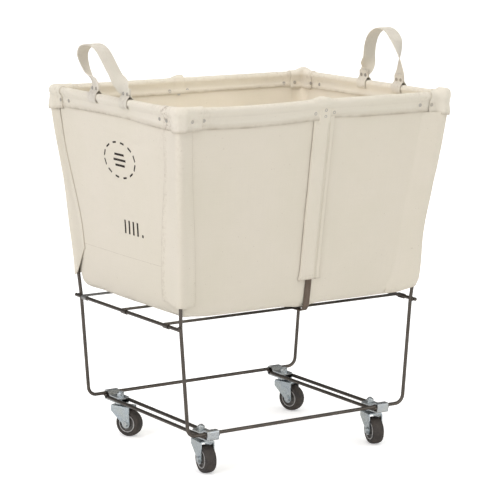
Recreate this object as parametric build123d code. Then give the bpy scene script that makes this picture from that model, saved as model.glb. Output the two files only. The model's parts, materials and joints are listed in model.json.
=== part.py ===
"""Linen trolley: a canvas basket on a wire frame with four swivel casters.

Millimetres, +Z up, origin on the floor under the middle of the basket.
X runs along the length (the handles are on the two X ends), Y across the width.
"""
import os
from math import cos, radians, sin, sqrt

from build123d import *

# ---- driving dimensions --------------------------------------------------
ROD_R = 3.5                # every frame rod is 7 mm round bar
WELD_GAP = 0.05            # rods lie against each other at the welds

RIM_X = 298.5              # rim rod centreline, half length
RIM_Y = 236.5              # rim rod centreline, half width
RIM_Z = 695.5              # rim rod centreline height
RIM_CORNER_R = 12.0

FRAME_Y = 190.0            # the two side frames stand at +Y and -Y
RAIL_Z = 79.5              # bottom rail of a side frame
FOOT_X = 249.8             # where leg and rail centrelines meet
KNEE_X = 265.6             # where the leg bends outward
KNEE_Z = 287.0
FOOT_BEND_R = 18.0
LEG_TOP_X = 295.0
LEG_TOP_Y = 233.0

CASTER_X = 198.0
CASTER_Y = 153.0
LOOP_Z = RAIL_Z - 2 * ROD_R - WELD_GAP
LOOP_HALF = 13.0           # half the spacing of the two rods of a base loop

END_ROD_X = KNEE_X + 2 * ROD_R + 0.3
END_ROD_Z = 287.5
END_ROD_HALF = 198.0
SLAT_Y = {"near": -152.0, "mid": 4.0, "far": 160.0}
SLAT_W = 17.0
SLAT_T = 1.5
CURL_R = ROD_R + WELD_GAP + SLAT_T / 2

CANVAS_T = 2.0
FLOOR_Z = END_ROD_Z + ROD_R + SLAT_T + 0.2
WALL_TOP_Z = 688.0
WALL_SLOPE_X = 0.1025      # how fast the end walls lean out per mm of height
WALL_SLOPE_Y = 0.1388
TOP_CORNER = 20.0          # corners are cut off by this much at the rim
LOW_CORNER = 14.0
FLOOR_EDGE = 11.0          # the bottom edge is turned up over this much

ROLL_R = 6.5               # canvas rolled round the rim rod
FLAP_T = 1.2
FLAP_IN = CANVAS_T / 2 + 0.1
BINDING_H = 28.5           # flap depth below the rim rod axis
BINDING_END = 26.0         # binding stops this far short of the rim corner
TILT_X = 5.85              # lean of the end walls, degrees
TILT_Y = 7.90              # lean of the side walls, degrees
PATCH_ARM = 42.0
PATCH_H = 34.0
SLEEVE_T = 1.5
SLEEVE_ARM = 48.0
SLEEVE_LOW_Z = 326.0
SLEEVE_TOP_Z = 661.0

BAND_SKEW = 4.3            # the centre band runs slightly askew, degrees
BAND_X = 4.0
BAND_W = 14.0
BAND_T = 1.5
BAND_SLEEVE_W = 46.0
BAND_SLEEVE_LOW_Z = 333.0

RIVET_SHANK_R = 1.6
RIVET_HEAD_R = 3.6
RIVET_HEAD_T = 1.1
RIVET_DIMPLE_R = 1.5
RIVET_DIMPLE = 0.6         # depth of the hollow in each end
RIVET_X = (245.0, 271.0)
RIVET_Y = (172.0, 200.0)
RIVET_DROP = 17.0          # rivet row below the rim rod axis
RIVET_ON_BINDING = 2.4     # from the middle of the wall to the outer face
RIVET_ON_PATCH = 4.9
RIVET_ON_BAND = 5.4

HANDLE_Y = {"left": 8.5, "right": -39.5}
HANDLE_FOOT = 59.0         # half the distance between the two feet
HANDLE_TWIST = {"left": -1.0, "right": 1.0}
WEB_W = 29.0
WEB_T = 1.8
LOOP_RING_R = 8.0          # webbing centreline round the rim roll
HANDLE_RISE = 108.0
SLOT_W = WEB_W + 4.0

WHEEL_R = 27.0
WHEEL_W = 23.0
TYRE_BORE_R = 18.0
TRAIL = 21.0
FORK_HALF = 14.6           # outer half width of the fork
FORK_T = 2.0
FORK_TOP_Z = 62.4
CLIP_W = 26.0
CLIP_T = 2.5
CLIP_LOW_Z = LOOP_Z - ROD_R - CLIP_T - 0.05
KING_R = 4.0
AXLE_R = 3.0
SLEEVE_R = 4.5
RUN_FIT = 0.06

CASTERS = {
    "left_far": (-1, 1, -63.4),
    "left_near": (-1, -1, -96.0),
    "right_far": (1, 1, -71.9),
    "right_near": (1, -1, -101.6),
}

os.makedirs("parts", exist_ok=True)


def save(shape, name):
    """Write one node."""
    export_step(shape, f"parts/{name}.step")


def rod(points, radius, section_r=ROD_R):
    """Round bar bent along a polyline."""
    path = FilletPolyline(*points, radius=radius) if len(points) > 2 else Line(*points)
    start = Plane(origin=path @ 0, z_dir=path % 0)
    return sweep(start * Circle(section_r), path=path)


def strap(path, width, thickness, across):
    """Flat strip swept along a path, its width along the direction across."""
    start = Plane(origin=path @ 0, x_dir=across, z_dir=path % 0)
    return sweep(start * Rectangle(width, thickness), path=path)


def wall_x(z):
    """Half length of the basket at a height, to the middle of the canvas."""
    return RIM_X - WALL_SLOPE_X * (RIM_Z - z)


def wall_y(z):
    """Half width of the basket at a height, to the middle of the canvas."""
    return RIM_Y - WALL_SLOPE_Y * (RIM_Z - z)


def leg_at(z):
    """Centre of the upper leg at a height, in the +X +Y corner."""
    share = (z - KNEE_Z) / (RIM_Z - KNEE_Z)
    return KNEE_X + share * (LEG_TOP_X - KNEE_X), FRAME_Y + share * (LEG_TOP_Y - FRAME_Y)


# ---- wire frame ----------------------------------------------------------
def rim_rod():
    """Closed rounded rectangle of round bar at the top of the basket."""
    path = RectangleRounded(2 * RIM_X, 2 * RIM_Y, RIM_CORNER_R).wire()
    path = path.moved(Location((0, 0, RIM_Z)))
    start = Plane(origin=path @ 0, z_dir=path % 0)
    return sweep(start * Circle(ROD_R), path=path)


def side_frame(side, rim):
    """U-shaped side: leg, bottom rail and leg, one bent bar up to the rim rod."""
    points = [
        (-LEG_TOP_X, side * LEG_TOP_Y, RIM_Z),
        (-KNEE_X, side * FRAME_Y, KNEE_Z),
        (-FOOT_X, side * FRAME_Y, RAIL_Z),
        (FOOT_X, side * FRAME_Y, RAIL_Z),
        (KNEE_X, side * FRAME_Y, KNEE_Z),
        (LEG_TOP_X, side * LEG_TOP_Y, RIM_Z),
    ]
    bar = rod(points, FOOT_BEND_R)
    above = Pos(0, 0, RIM_Z + 20) * Box(700, 600, 40)
    return bar - above - rim


def base_loop(end):
    """Closed hairpin loop of two parallel rods under the rails."""
    length = 2 * FRAME_Y
    path = RectangleRounded(2 * LOOP_HALF, length, LOOP_HALF - 0.01).wire()
    path = path.moved(Location((end * CASTER_X, 0, LOOP_Z)))
    start = Plane(origin=path @ 0, z_dir=path % 0)
    return sweep(start * Circle(ROD_R), path=path)


def platform_end_rod(end):
    """Straight cross rod welded outside the two legs of one end."""
    x = end * END_ROD_X
    bar = Pos(x, 0, END_ROD_Z) * Rot(90, 0, 0) * Cylinder(ROD_R, 2 * END_ROD_HALF)
    return chamfer(bar.edges(), 0.5)


def platform_slat(y):
    """Flat steel slat with its ends curled round the end rods."""
    top = END_ROD_Z + CURL_R
    left = CenterArc((0, 0), CURL_R, 330, -240)
    right = CenterArc((0, 0), CURL_R, 90, -240)
    plane = Plane(origin=(0, y, 0), x_dir=(1, 0, 0), z_dir=(0, -1, 0))
    curve_left = Pos(-END_ROD_X, END_ROD_Z) * left
    curve_right = Pos(END_ROD_X, END_ROD_Z) * right
    flat = Line((-END_ROD_X, top), (END_ROD_X, top))
    path = Wire([plane * e for e in (curve_left.edge(), flat.edge(), curve_right.edge())])
    return strap(path, SLAT_W, SLAT_T, (0, 1, 0))


def band_offset(z):
    """Distance from the middle plane to the centre band at a height."""
    return (wall_y(z) + CANVAS_T / 2 + 2.1 + BAND_T / 2) / cos(radians(BAND_SKEW))


def centre_band():
    """Flat steel band from rim to rim, down both sides and under the slats."""
    top_z = RIM_Z - ROLL_R - 1.2
    turn_z = END_ROD_Z + ROD_R - BAND_T / 2 - 0.4
    low_z = 300.0
    floor_y = 179.0
    points = [
        (0, -band_offset(top_z), top_z),
        (0, -band_offset(low_z), low_z),
        (0, -floor_y, turn_z),
        (0, floor_y, turn_z),
        (0, band_offset(low_z), low_z),
        (0, band_offset(top_z), top_z),
    ]
    path = FilletPolyline(*points, radius=7)
    band = strap(path, BAND_W, BAND_T, (1, 0, 0))
    return Pos(BAND_X, 0, 0) * Rot(0, 0, BAND_SKEW) * band


# ---- canvas --------------------------------------------------------------
def cut_rectangle(half_x, half_y, corner, z):
    """Corners of a horizontal rectangle cut off at 45 degrees."""
    return [
        (half_x, corner - half_y, z), (half_x, half_y - corner, z),
        (half_x - corner, half_y, z), (corner - half_x, half_y, z),
        (-half_x, half_y - corner, z), (-half_x, corner - half_y, z),
        (corner - half_x, -half_y, z), (half_x - corner, -half_y, z),
    ]


def flat_sided(outlines):
    """Solid with flat faces through horizontal outlines of equal point count."""
    faces = [Face(Wire.make_polygon(outlines[0])), Face(Wire.make_polygon(outlines[-1]))]
    count = len(outlines[0])
    for low, high in zip(outlines, outlines[1:]):
        for i in range(count):
            j = (i + 1) % count
            faces.append(Face(Wire.make_polygon([low[i], low[j], high[j], high[i]])))
    return Solid(Shell(faces))


def body_block(inset):
    """Tapered basket block: the outer skin, or moved in by the inset."""
    low_z = FLOOR_Z + inset
    edge_z = FLOOR_Z + FLOOR_EDGE + inset * 0.4
    top_z = WALL_TOP_Z + (1 if inset > 0 else 0)
    slim = inset * (2 - sqrt(2))
    outlines = []
    for z, drawn_in, corner in (
            (low_z, FLOOR_EDGE - inset * 0.4, LOW_CORNER), (edge_z, 0, LOW_CORNER),
            (top_z, 0, TOP_CORNER)):
        half_x = wall_x(z) + CANVAS_T / 2 - inset - drawn_in
        half_y = wall_y(z) + CANVAS_T / 2 - inset - drawn_in
        outlines.append(cut_rectangle(half_x, half_y, corner - slim, z))
    return flat_sided(outlines)


def canvas_shell():
    """Whole basket skin, open at the top."""
    return body_block(0) - body_block(CANVAS_T)


def end_block(end):
    """Slab that holds the flat part of one end wall between its corners."""
    edge_z = FLOOR_Z + FLOOR_EDGE
    low_y = wall_y(edge_z) - LOW_CORNER - 1
    top_y = wall_y(WALL_TOP_Z) - TOP_CORNER - 1
    outline = Polyline(
        (-low_y, edge_z - 1), (low_y, edge_z - 1), (top_y, WALL_TOP_Z + 5),
        (-top_y, WALL_TOP_Z + 5), close=True)
    slab = Pos(200, 0, 0) * extrude(Plane.YZ * make_face(outline), 200)
    return slab if end > 0 else mirror(slab, Plane.YZ)


def canvas_panels():
    """The skin cut into floor tray, two side panels and two end panels."""
    shell = canvas_shell()
    edge_z = FLOOR_Z + FLOOR_EDGE
    floor_block = Pos(0, 0, edge_z - 20) * Box(700, 600, 40)
    panels = {"canvas_floor": shell & floor_block}
    walls = shell - floor_block
    for name, end in (("left", -1), ("right", 1)):
        slab = end_block(end)
        ring = handle_slots(end, HANDLE_Y[name])
        panels[f"canvas_end_{name}"] = (walls & slab) - ring
        walls = walls - slab
    near_half = Pos(0, -300, 500) * Box(800, 600, 600)
    panels["canvas_side_near"] = walls & near_half
    panels["canvas_side_far"] = walls - near_half
    return panels


def offset_points(points, distance):
    """Points moved sideways from an open polyline, mitred at the corners."""
    result = []
    last = len(points) - 1
    for i, (x, y) in enumerate(points):
        before = points[max(i - 1, 0)]
        after = points[min(i + 1, last)]
        normals = []
        for start, stop in ((before, (x, y)), ((x, y), after)):
            dx, dy = stop[0] - start[0], stop[1] - start[1]
            size = sqrt(dx * dx + dy * dy)
            if size > 0:
                normals.append((dy / size, -dx / size))
        nx = sum(n[0] for n in normals) / len(normals)
        ny = sum(n[1] for n in normals) / len(normals)
        scale = distance / (nx * nx + ny * ny)
        result.append((x + nx * scale, y + ny * scale))
    return result


def strip_face(points, thickness, z):
    """Thin horizontal face of even thickness along a polyline."""
    outer = offset_points(points, thickness / 2)
    inner = offset_points(points, -thickness / 2)
    return Pos(0, 0, z) * make_face(Polyline(*outer, *reversed(inner), close=True))


def sleeve_line(z):
    """Course of a corner sleeve round the leg, seen from above."""
    lx, ly = leg_at(z)
    face_x = wall_x(z) + CANVAS_T / 2 + SLEEVE_T / 2 + 0.25
    face_y = wall_y(z) + CANVAS_T / 2 + SLEEVE_T / 2 + 0.25
    reach = ROD_R + SLEEVE_T / 2 + 0.5
    out_x = max(face_x, lx + reach)
    out_y = max(face_y, ly + reach)
    return [
        (face_x, ly - SLEEVE_ARM), (out_x, ly - 8), (out_x, ly + 2.2),
        (lx + 2.2, out_y), (lx - 8, out_y), (lx - SLEEVE_ARM, face_y),
    ]


def corner_sleeve(sx, sy):
    """Canvas pocket over one upper leg, cut on the slant at its lower end."""
    sections = [strip_face(sleeve_line(z), SLEEVE_T, z) for z in (SLEEVE_LOW_Z, SLEEVE_TOP_Z)]
    sleeve = loft(sections, ruled=True)
    _, ly = leg_at(SLEEVE_LOW_Z)
    slant = Polyline(
        (ly - 8, SLEEVE_LOW_Z - 1), (ly - SLEEVE_ARM - 4, SLEEVE_LOW_Z + 50),
        (ly - SLEEVE_ARM - 4, SLEEVE_LOW_Z - 1), close=True)
    wedge = extrude(Plane.YZ * make_face(slant), 400)
    sleeve = sleeve - wedge
    if sx < 0:
        sleeve = mirror(sleeve, Plane.YZ)
    if sy < 0:
        sleeve = mirror(sleeve, Plane.XZ)
    return sleeve


def centre_sleeve(side):
    """Canvas strip sewn over the centre band on one side wall."""
    half = BAND_SLEEVE_W / 2
    pocket = BAND_W / 2 + 2.6
    height = SLEEVE_TOP_Z - BAND_SLEEVE_LOW_Z
    profile = Polyline(
        (-half, 0.2), (-pocket, 0.2), (-pocket, 4.6), (pocket, 4.6), (pocket, 0.2),
        (half, 0.2), (half, 1.2), (pocket + 2, 6.1), (-pocket - 2, 6.1), (-half, 1.2), close=True)
    strip = extrude(make_face(profile), height)
    base_y = wall_y(BAND_SLEEVE_LOW_Z) + CANVAS_T / 2
    x = BAND_X + side * -sin(radians(BAND_SKEW)) * 215
    strip = Rot(-TILT_Y, 0, 0) * strip
    strip = Pos(0, base_y, BAND_SLEEVE_LOW_Z) * strip
    if side < 0:
        strip = mirror(strip, Plane.XZ)
    return Pos(x, 0, 0) * strip


def rim_frame(side_axis, side):
    """Plane whose Y points outward, leaning with the wall, on the rim rod axis."""
    if side_axis == "y":
        lean = radians(TILT_Y)
        origin = (0, side * RIM_Y, RIM_Z)
        out = (0, side * cos(lean), -sin(lean))
        along = (side, 0, 0)
    else:
        lean = radians(TILT_X)
        origin = (side * RIM_X, 0, RIM_Z)
        out = (side * cos(lean), 0, -sin(lean))
        along = (0, -side, 0)
    return Plane(origin=origin, x_dir=out, z_dir=along)


def binding_profile():
    """Roll with its two flaps: local X points outward and local Y follows the wall."""
    roll = Circle(ROLL_R) - Circle(ROD_R + WELD_GAP)
    profile = roll
    depth = BINDING_H - 5
    for side in (1, -1):
        x = side * (FLAP_IN + FLAP_T / 2)
        profile = profile + Pos(x, -5 - depth / 2) * Rectangle(FLAP_T, depth)
    return profile


def handle_slots(end, mid_y):
    """Gaps under the roll that a handle's two rings pass through."""
    ring = Circle(LOOP_RING_R + 2.1) - Circle(ROLL_R + 0.05)
    gap = extrude(Plane.XZ * ring, SLOT_W / 2, both=True)
    below = Pos(0, 0, -15) * Box(40, 80, 20)
    gap = gap & below
    return Compound([
        Pos(end * RIM_X, mid_y + side * HANDLE_FOOT, RIM_Z) * gap for side in (-1, 1)])


def binding(side_axis, side, half_length):
    """Canvas binding rolled over the rim rod along one side of the basket."""
    frame = rim_frame(side_axis, side)
    return extrude(frame * binding_profile(), half_length, both=True)


def wall_room():
    """Space that the canvas walls fill at the rim, with a little clearance."""
    z = WALL_TOP_Z + 0.3
    low_z = z - 60
    bands = []
    for grow in (0.3, -CANVAS_T - 0.3):
        outlines = []
        for level in (low_z, z):
            half_x = wall_x(level) + CANVAS_T / 2 + grow
            half_y = wall_y(level) + CANVAS_T / 2 + grow
            share = (level - FLOOR_Z - FLOOR_EDGE) / (WALL_TOP_Z - FLOOR_Z - FLOOR_EDGE)
            corner = LOW_CORNER + share * (TOP_CORNER - LOW_CORNER) + grow * (2 - sqrt(2))
            outlines.append(cut_rectangle(half_x, half_y, corner, level))
        bands.append(flat_sided(outlines))
    return bands[0] - bands[1]


def corner_patch(sx, sy):
    """Canvas patch folded over the binding at one rim corner."""
    path = FilletPolyline(
        (RIM_X - PATCH_ARM, RIM_Y, RIM_Z), (RIM_X, RIM_Y, RIM_Z),
        (RIM_X, RIM_Y - PATCH_ARM, RIM_Z), radius=RIM_CORNER_R)
    sandwich = FLAP_IN + FLAP_T + 0.4
    roll = Circle(ROLL_R + 1.8) - Circle(ROLL_R + 0.2)
    profile = roll - Pos(0, -10) * Rectangle(2 * sandwich, 14)
    depth = PATCH_H - 6.2
    lean = 7.0
    for side in (1, -1):
        x = side * (FLAP_IN + FLAP_T + 0.7 + 0.6)
        flap = Pos(x, -6.2 - depth / 2) * Rectangle(1.2, depth)
        profile = profile + flap
    start = Plane(origin=path @ 0, x_dir=(0, 1, 0), z_dir=(1, 0, 0))
    patch = sweep(start * Rot(0, 0, -lean) * profile, path=path)
    low = (KNEE_X, FRAME_Y, KNEE_Z)
    leg_room = rod([low, (LEG_TOP_X, LEG_TOP_Y, RIM_Z)], 0, ROD_R + 0.2)
    patch = patch - leg_room - wall_room()
    if sx < 0:
        patch = mirror(patch, Plane.YZ)
    if sy < 0:
        patch = mirror(patch, Plane.XZ)
    return patch


# ---- rivets --------------------------------------------------------------
def rivet_places():
    """Every rim rivet: its frame, Z through the canvas, and its outer and inner reach."""
    places = []
    for side in (-1, 1):
        band_x = BAND_X - side * sin(radians(BAND_SKEW)) * RIM_Y
        spots = []
        for sx in (-1, 1):
            spots.append((sx * RIVET_X[0], RIVET_DROP, RIVET_ON_BINDING, RIVET_ON_BINDING))
            spots.append((sx * RIVET_X[1], RIVET_DROP, RIVET_ON_PATCH, RIVET_ON_PATCH))
        spots.append((band_x - 21, 19.0, RIVET_ON_BINDING, RIVET_ON_BINDING))
        spots.append((band_x + 21, 19.0, RIVET_ON_BINDING, RIVET_ON_BINDING))
        spots.append((band_x, 12.5, RIVET_ON_BAND, RIVET_ON_BINDING))
        spots.append((band_x, 25.0, RIVET_ON_BAND, RIVET_ON_BINDING))
        frame = rim_frame("y", side)
        for x, drop, outer, inner in spots:
            origin = frame.from_local_coords(Vector(0, -drop, side * x))
            spot = Plane(origin=origin, x_dir=frame.z_dir, z_dir=frame.x_dir)
            places.append((spot, outer, inner))
    for side in (-1, 1):
        frame = rim_frame("x", side)
        for sy in (-1, 1):
            for y, reach in zip(RIVET_Y, (RIVET_ON_BINDING, RIVET_ON_PATCH)):
                origin = frame.from_local_coords(Vector(0, -RIVET_DROP, sy * y))
                spot = Plane(origin=origin, x_dir=frame.z_dir, z_dir=frame.x_dir)
                places.append((spot, reach, reach))
    return places


def rivet(outer, inner):
    """Tubular rivet with a domed head outside, a rolled tail inside and a hollow in each end."""
    body = Pos(0, 0, (outer - inner) / 2) * Cylinder(RIVET_SHANK_R, outer + inner)
    for z in (outer + RIVET_HEAD_T / 2, -inner - RIVET_HEAD_T / 2):
        body = body + Pos(0, 0, z) * Cylinder(RIVET_HEAD_R, RIVET_HEAD_T)
    rims = body.edges().filter_by(GeomType.CIRCLE).sort_by(Axis.Z)
    body = fillet([rims[0], rims[-1]], 0.8)
    for z in (outer + RIVET_HEAD_T, -inner - RIVET_HEAD_T):
        body = body - Pos(0, 0, z) * Cylinder(RIVET_DIMPLE_R, 2 * RIVET_DIMPLE)
    return body


def rim_rivets(places):
    """All rivets of the rim."""
    return Compound([spot * rivet(outer, inner) for spot, outer, inner in places])


def rivet_holes(places):
    """Clearance cylinders for the rivet shanks."""
    return Compound([spot * Cylinder(RIVET_SHANK_R + 0.05, 14) for spot, _, _ in places])


# ---- handles -------------------------------------------------------------
def handle_station(t):
    """Point across (Y), height above the rim axis, and tilt of the arch at t in 0..1."""
    angle = radians(180 * t)
    y = HANDLE_FOOT * (1 + 0.10 * sin(angle)) * cos(angle)
    z = 24.0 + (HANDLE_RISE - 24.0) * sin(angle) ** 0.80 if 0 < t < 1 else 24.0
    return y, z


def handle_sections(twist):
    """Rectangles along the arch that turn from flat on the rim to crosswise at the top."""
    count = 24
    stations = [handle_station(i / count) for i in range(count + 1)]
    sections = []
    for i, (y, z) in enumerate(stations):
        y0, z0 = stations[max(i - 1, 0)]
        y1, z1 = stations[min(i + 1, count)]
        tangent = Vector(0, y1 - y0, z1 - z0).normalized()
        if i in (0, count):
            tangent = Vector(0, 0, 1 if i == 0 else -1)
        share = min(i, count - i) / count / 0.32
        turn = radians(90 * min(1.0, share))
        across = Vector(1, 0, 0)
        flat = across.cross(tangent)
        width_dir = flat * cos(turn) + across * (sin(turn) * twist)
        plane = Plane(origin=(0, y, z), x_dir=width_dir, z_dir=tangent)
        sections.append(plane * Rectangle(WEB_W, WEB_T))
    return sections


def handle_foot():
    """Webbing ring round the rim roll with the doubled tail above it."""
    outer = Circle(LOOP_RING_R + WEB_T / 2) + Pos(0, 13.5) * Rectangle(2 * WEB_T, 21)
    ring = outer - Circle(LOOP_RING_R - WEB_T / 2)
    return extrude(Plane.XZ * ring, WEB_W / 2, both=True)


def handle(end, twist, mid_y):
    """One webbing handle, standing up."""
    arch = loft(handle_sections(twist), ruled=True)
    body = arch
    for side in (1, -1):
        body = body + Pos(0, side * HANDLE_FOOT, 0) * handle_foot()
    return Pos(end * RIM_X, mid_y, RIM_Z) * body


def handle_rivet_places(end, mid_y):
    """Two rivets through each doubled tail."""
    places = []
    for side in (1, -1):
        for shift in (-7, 7):
            origin = (end * RIM_X, mid_y + side * HANDLE_FOOT + shift, RIM_Z + 17)
            places.append(Plane(origin=origin, x_dir=(0, 1, 0), z_dir=(1, 0, 0)))
    return places


# ---- casters -------------------------------------------------------------
def caster_clip(sx, sy):
    """Bent steel clamp that hooks over the rail and holds the king bolt."""
    low = CLIP_LOW_Z + CLIP_T / 2
    over = RAIL_Z + ROD_R + CLIP_T / 2 + 0.15
    seat = LOOP_Z + ROD_R + CLIP_T / 2 + 0.05
    web = FRAME_Y + ROD_R + CLIP_T / 2 + 0.6
    tip = CASTER_Y - 17
    points = [
        (0, tip, low), (0, web, low), (0, web, over),
        (0, FRAME_Y - 6, over), (0, FRAME_Y - 16, seat), (0, tip, seat),
    ]
    path = FilletPolyline(*points, radius=2.6)
    clip = strap(path, CLIP_W, CLIP_T, (1, 0, 0))
    corners = clip.edges().filter_by(Axis.Z).group_by(Axis.Y)[0]
    clip = chamfer(corners, 6)
    clip = clip - Pos(0, CASTER_Y, 70) * Cylinder(KING_R + 0.05, 60)
    if sy < 0:
        clip = mirror(clip, Plane.XZ)
    return Pos(sx * CASTER_X, 0, 0) * clip


def king_bolt():
    """Bolt from under the fork up through the clamp."""
    head_z = FORK_TOP_Z - FORK_T - RUN_FIT
    tip_z = LOOP_Z + ROD_R + CLIP_T + 10.5
    shank = Pos(0, 0, (head_z + tip_z) / 2) * Cylinder(KING_R, tip_z - head_z)
    head = Pos(0, 0, head_z - 2.2) * Cylinder(7.5, 4.4)
    bolt = shank + head
    ends = bolt.edges().filter_by(GeomType.CIRCLE).sort_by(Axis.Z)
    return fillet([ends[0]], 2.0)


def lock_washer():
    """Toothed washer under the king nut."""
    z = LOOP_Z + ROD_R + CLIP_T + 0.1
    disc = Cylinder(8.6, 1.4) - Cylinder(KING_R + 0.05, 4)
    for i in range(10):
        tooth = Rot(0, 0, 36 * i) * Pos(9.0, 0, 0) * Box(2.0, 1.6, 4)
        disc = disc - tooth
    return Pos(0, 0, z + 0.75) * disc


def king_nut():
    """Hexagon nut on the king bolt."""
    z = LOOP_Z + ROD_R + CLIP_T + 1.6
    body = extrude(RegularPolygon(7.5, 6), 6.5)
    cone = Pos(0, 0, 3.25) * Cone(10.2, 6.2, 6.5)
    body = body & cone
    body = body - Pos(0, 0, 3) * Cylinder(KING_R + 0.05, 12)
    return Pos(0, 0, z) * body


def race_balls():
    """Ring of bearing balls between clamp and fork."""
    z = (CLIP_LOW_Z + FORK_TOP_Z) / 2
    radius = (CLIP_LOW_Z - FORK_TOP_Z) / 2 - 0.08
    count = 14
    return [Rot(0, 0, 360 * i / count) * Pos(9.6, 0, z) * Sphere(radius) for i in range(count)]


def fork():
    """Pressed steel fork, its legs trailing along +X."""
    profile = Polyline(
        (-14, FORK_TOP_Z), (28, FORK_TOP_Z), (TRAIL + 9, WHEEL_R + 2),
        (TRAIL + 9, WHEEL_R), (TRAIL - 9, WHEEL_R), (-14, FORK_TOP_Z - 12), close=True)
    side_face = make_face(profile)
    boss = Pos(TRAIL, WHEEL_R) * Circle(9)
    side_face = side_face + boss
    block = extrude(Plane.XZ * side_face, FORK_HALF, both=True)
    long_edges = block.edges().filter_by(Axis.X).sort_by(Axis.Z)[-2:]
    block = fillet(long_edges, 3.0)
    hollow = Pos(10, 0, FORK_TOP_Z - FORK_T - 30) * Box(80, 2 * (FORK_HALF - FORK_T), 60)
    hollow = fillet(hollow.edges().filter_by(Axis.X).sort_by(Axis.Z)[-2:], 1.5)
    block = block - hollow
    king_hole = Pos(0, 0, FORK_TOP_Z) * Cylinder(KING_R + RUN_FIT, 20)
    axle_hole = Pos(TRAIL, 0, WHEEL_R) * Rot(90, 0, 0) * Cylinder(AXLE_R + 0.05, 60)
    return block - king_hole - axle_hole


def axle_bolt():
    """Axle bolt with a hexagon head outside one fork leg."""
    length = 2 * FORK_HALF + 8
    shank = Pos(0, 0, 0.5) * Cylinder(AXLE_R, length - 1)
    head = Pos(0, 0, -FORK_HALF - 0.05 - 4.0) * extrude(RegularPolygon(5.8, 6), 4.0)
    washer = Pos(0, 0, -FORK_HALF - 0.05 - 0.6) * Cylinder(7.0, 1.2)
    trim = Pos(0, 0, -FORK_HALF - 30) * Box(30, 30, 52 - 0.1)
    bolt = shank - trim + head + washer
    return Pos(TRAIL, 0, WHEEL_R) * Rot(-90, 0, 0) * bolt


def axle_nut():
    """Nut on the other end of the axle bolt."""
    nut = Pos(0, 0, FORK_HALF + 0.05) * extrude(RegularPolygon(5.8, 6), 3.4)
    nut = nut - Cylinder(AXLE_R + 0.05, 80)
    return Pos(TRAIL, 0, WHEEL_R) * Rot(-90, 0, 0) * nut


def axle_sleeve():
    """Spacer tube that the wheel turns on."""
    tube = Cylinder(SLEEVE_R, 2 * (FORK_HALF - FORK_T) - 0.1) - Cylinder(AXLE_R + 0.05, 80)
    return Pos(TRAIL, 0, WHEEL_R) * Rot(-90, 0, 0) * tube


def wheel_core():
    """Moulded wheel centre with a recessed web and a raised rim ring."""
    half = WHEEL_W / 2 - 1.2
    section = Polyline(
        (SLEEVE_R + RUN_FIT, -half - 0.6), (8.0, -half - 0.6), (8.5, -half + 4),
        (15.6, -half + 4.5), (16.2, -half - 0.2), (TYRE_BORE_R - 0.05, -half - 0.2),
        (TYRE_BORE_R - 0.05, half + 0.2), (16.2, half + 0.2), (15.6, half - 4.5),
        (8.5, half - 4), (8.0, half + 0.6), (SLEEVE_R + RUN_FIT, half + 0.6), close=True)
    core = revolve(Plane.XZ * make_face(section), Axis.Z)
    return Pos(TRAIL, 0, WHEEL_R) * Rot(-90, 0, 0) * core


def tyre():
    """Solid rubber tyre with a crowned tread and rounded shoulders."""
    half = WHEEL_W / 2
    section = Polyline(
        (TYRE_BORE_R, -half + 1.5), (TYRE_BORE_R + 1.2, -half), (WHEEL_R - 4.5, -half),
        (WHEEL_R - 1.9, -half + 1.3), (WHEEL_R - 0.6, -half + 4.2), (WHEEL_R, -half + 8.2),
        (WHEEL_R, half - 8.2), (WHEEL_R - 0.6, half - 4.2), (WHEEL_R - 1.9, half - 1.3),
        (WHEEL_R - 4.5, half), (TYRE_BORE_R + 1.2, half), (TYRE_BORE_R, half - 1.5), close=True)
    ring = revolve(Plane.XZ * make_face(section), Axis.Z)
    return Pos(TRAIL, 0, WHEEL_R) * Rot(-90, 0, 0) * ring


# ---- assembly ------------------------------------------------------------
def save_frame():
    """Rods, slats and centre band."""
    rim = rim_rod()
    save(rim, "rim_rod")
    save(side_frame(-1, rim), "side_frame_near")
    save(side_frame(1, rim), "side_frame_far")
    for name, end in (("left", -1), ("right", 1)):
        save(base_loop(end), f"base_loop_{name}")
        save(platform_end_rod(end), f"platform_end_rod_{name}")
    for name, y in SLAT_Y.items():
        save(platform_slat(y), f"platform_slat_{name}")
    save(centre_band() - rivet_holes(rivet_places()), "centre_band")


def save_basket():
    """Canvas panels, sleeves, binding, patches and rivets."""
    places = rivet_places()
    holes = rivet_holes(places)
    for name, panel in canvas_panels().items():
        save(panel - holes, name)
    corners = [(sx, sy) for sx in (-1, 1) for sy in (-1, 1)]
    save(Compound([corner_sleeve(sx, sy) for sx, sy in corners]), "corner_sleeves")
    save(Compound([centre_sleeve(side) for side in (-1, 1)]), "centre_sleeves")
    long_half = RIM_X - BINDING_END
    short_half = RIM_Y - BINDING_END
    save(binding("y", -1, long_half) - holes, "binding_near")
    save(binding("y", 1, long_half) - holes, "binding_far")
    for name, end in (("left", -1), ("right", 1)):
        slots = handle_slots(end, HANDLE_Y[name])
        save(binding("x", end, short_half) - holes - slots, f"binding_{name}")
    patches = [corner_patch(sx, sy) - holes for sx, sy in corners]
    save(Compound(patches), "corner_patches")
    save(rim_rivets(places), "rim_rivets")


def save_handles():
    """Two webbing handles and their rivets."""
    for name, end in (("left", -1), ("right", 1)):
        places = handle_rivet_places(end, HANDLE_Y[name])
        holes = Compound([p * Cylinder(RIVET_SHANK_R + 0.05, 30) for p in places])
        web = handle(end, HANDLE_TWIST[name], HANDLE_Y[name]) - holes
        save(web, f"handle_{name}")
        rivets = Compound([p * rivet(WEB_T + 0.1, WEB_T + 0.1) for p in places])
        save(rivets, f"handle_rivets_{name}")


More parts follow.
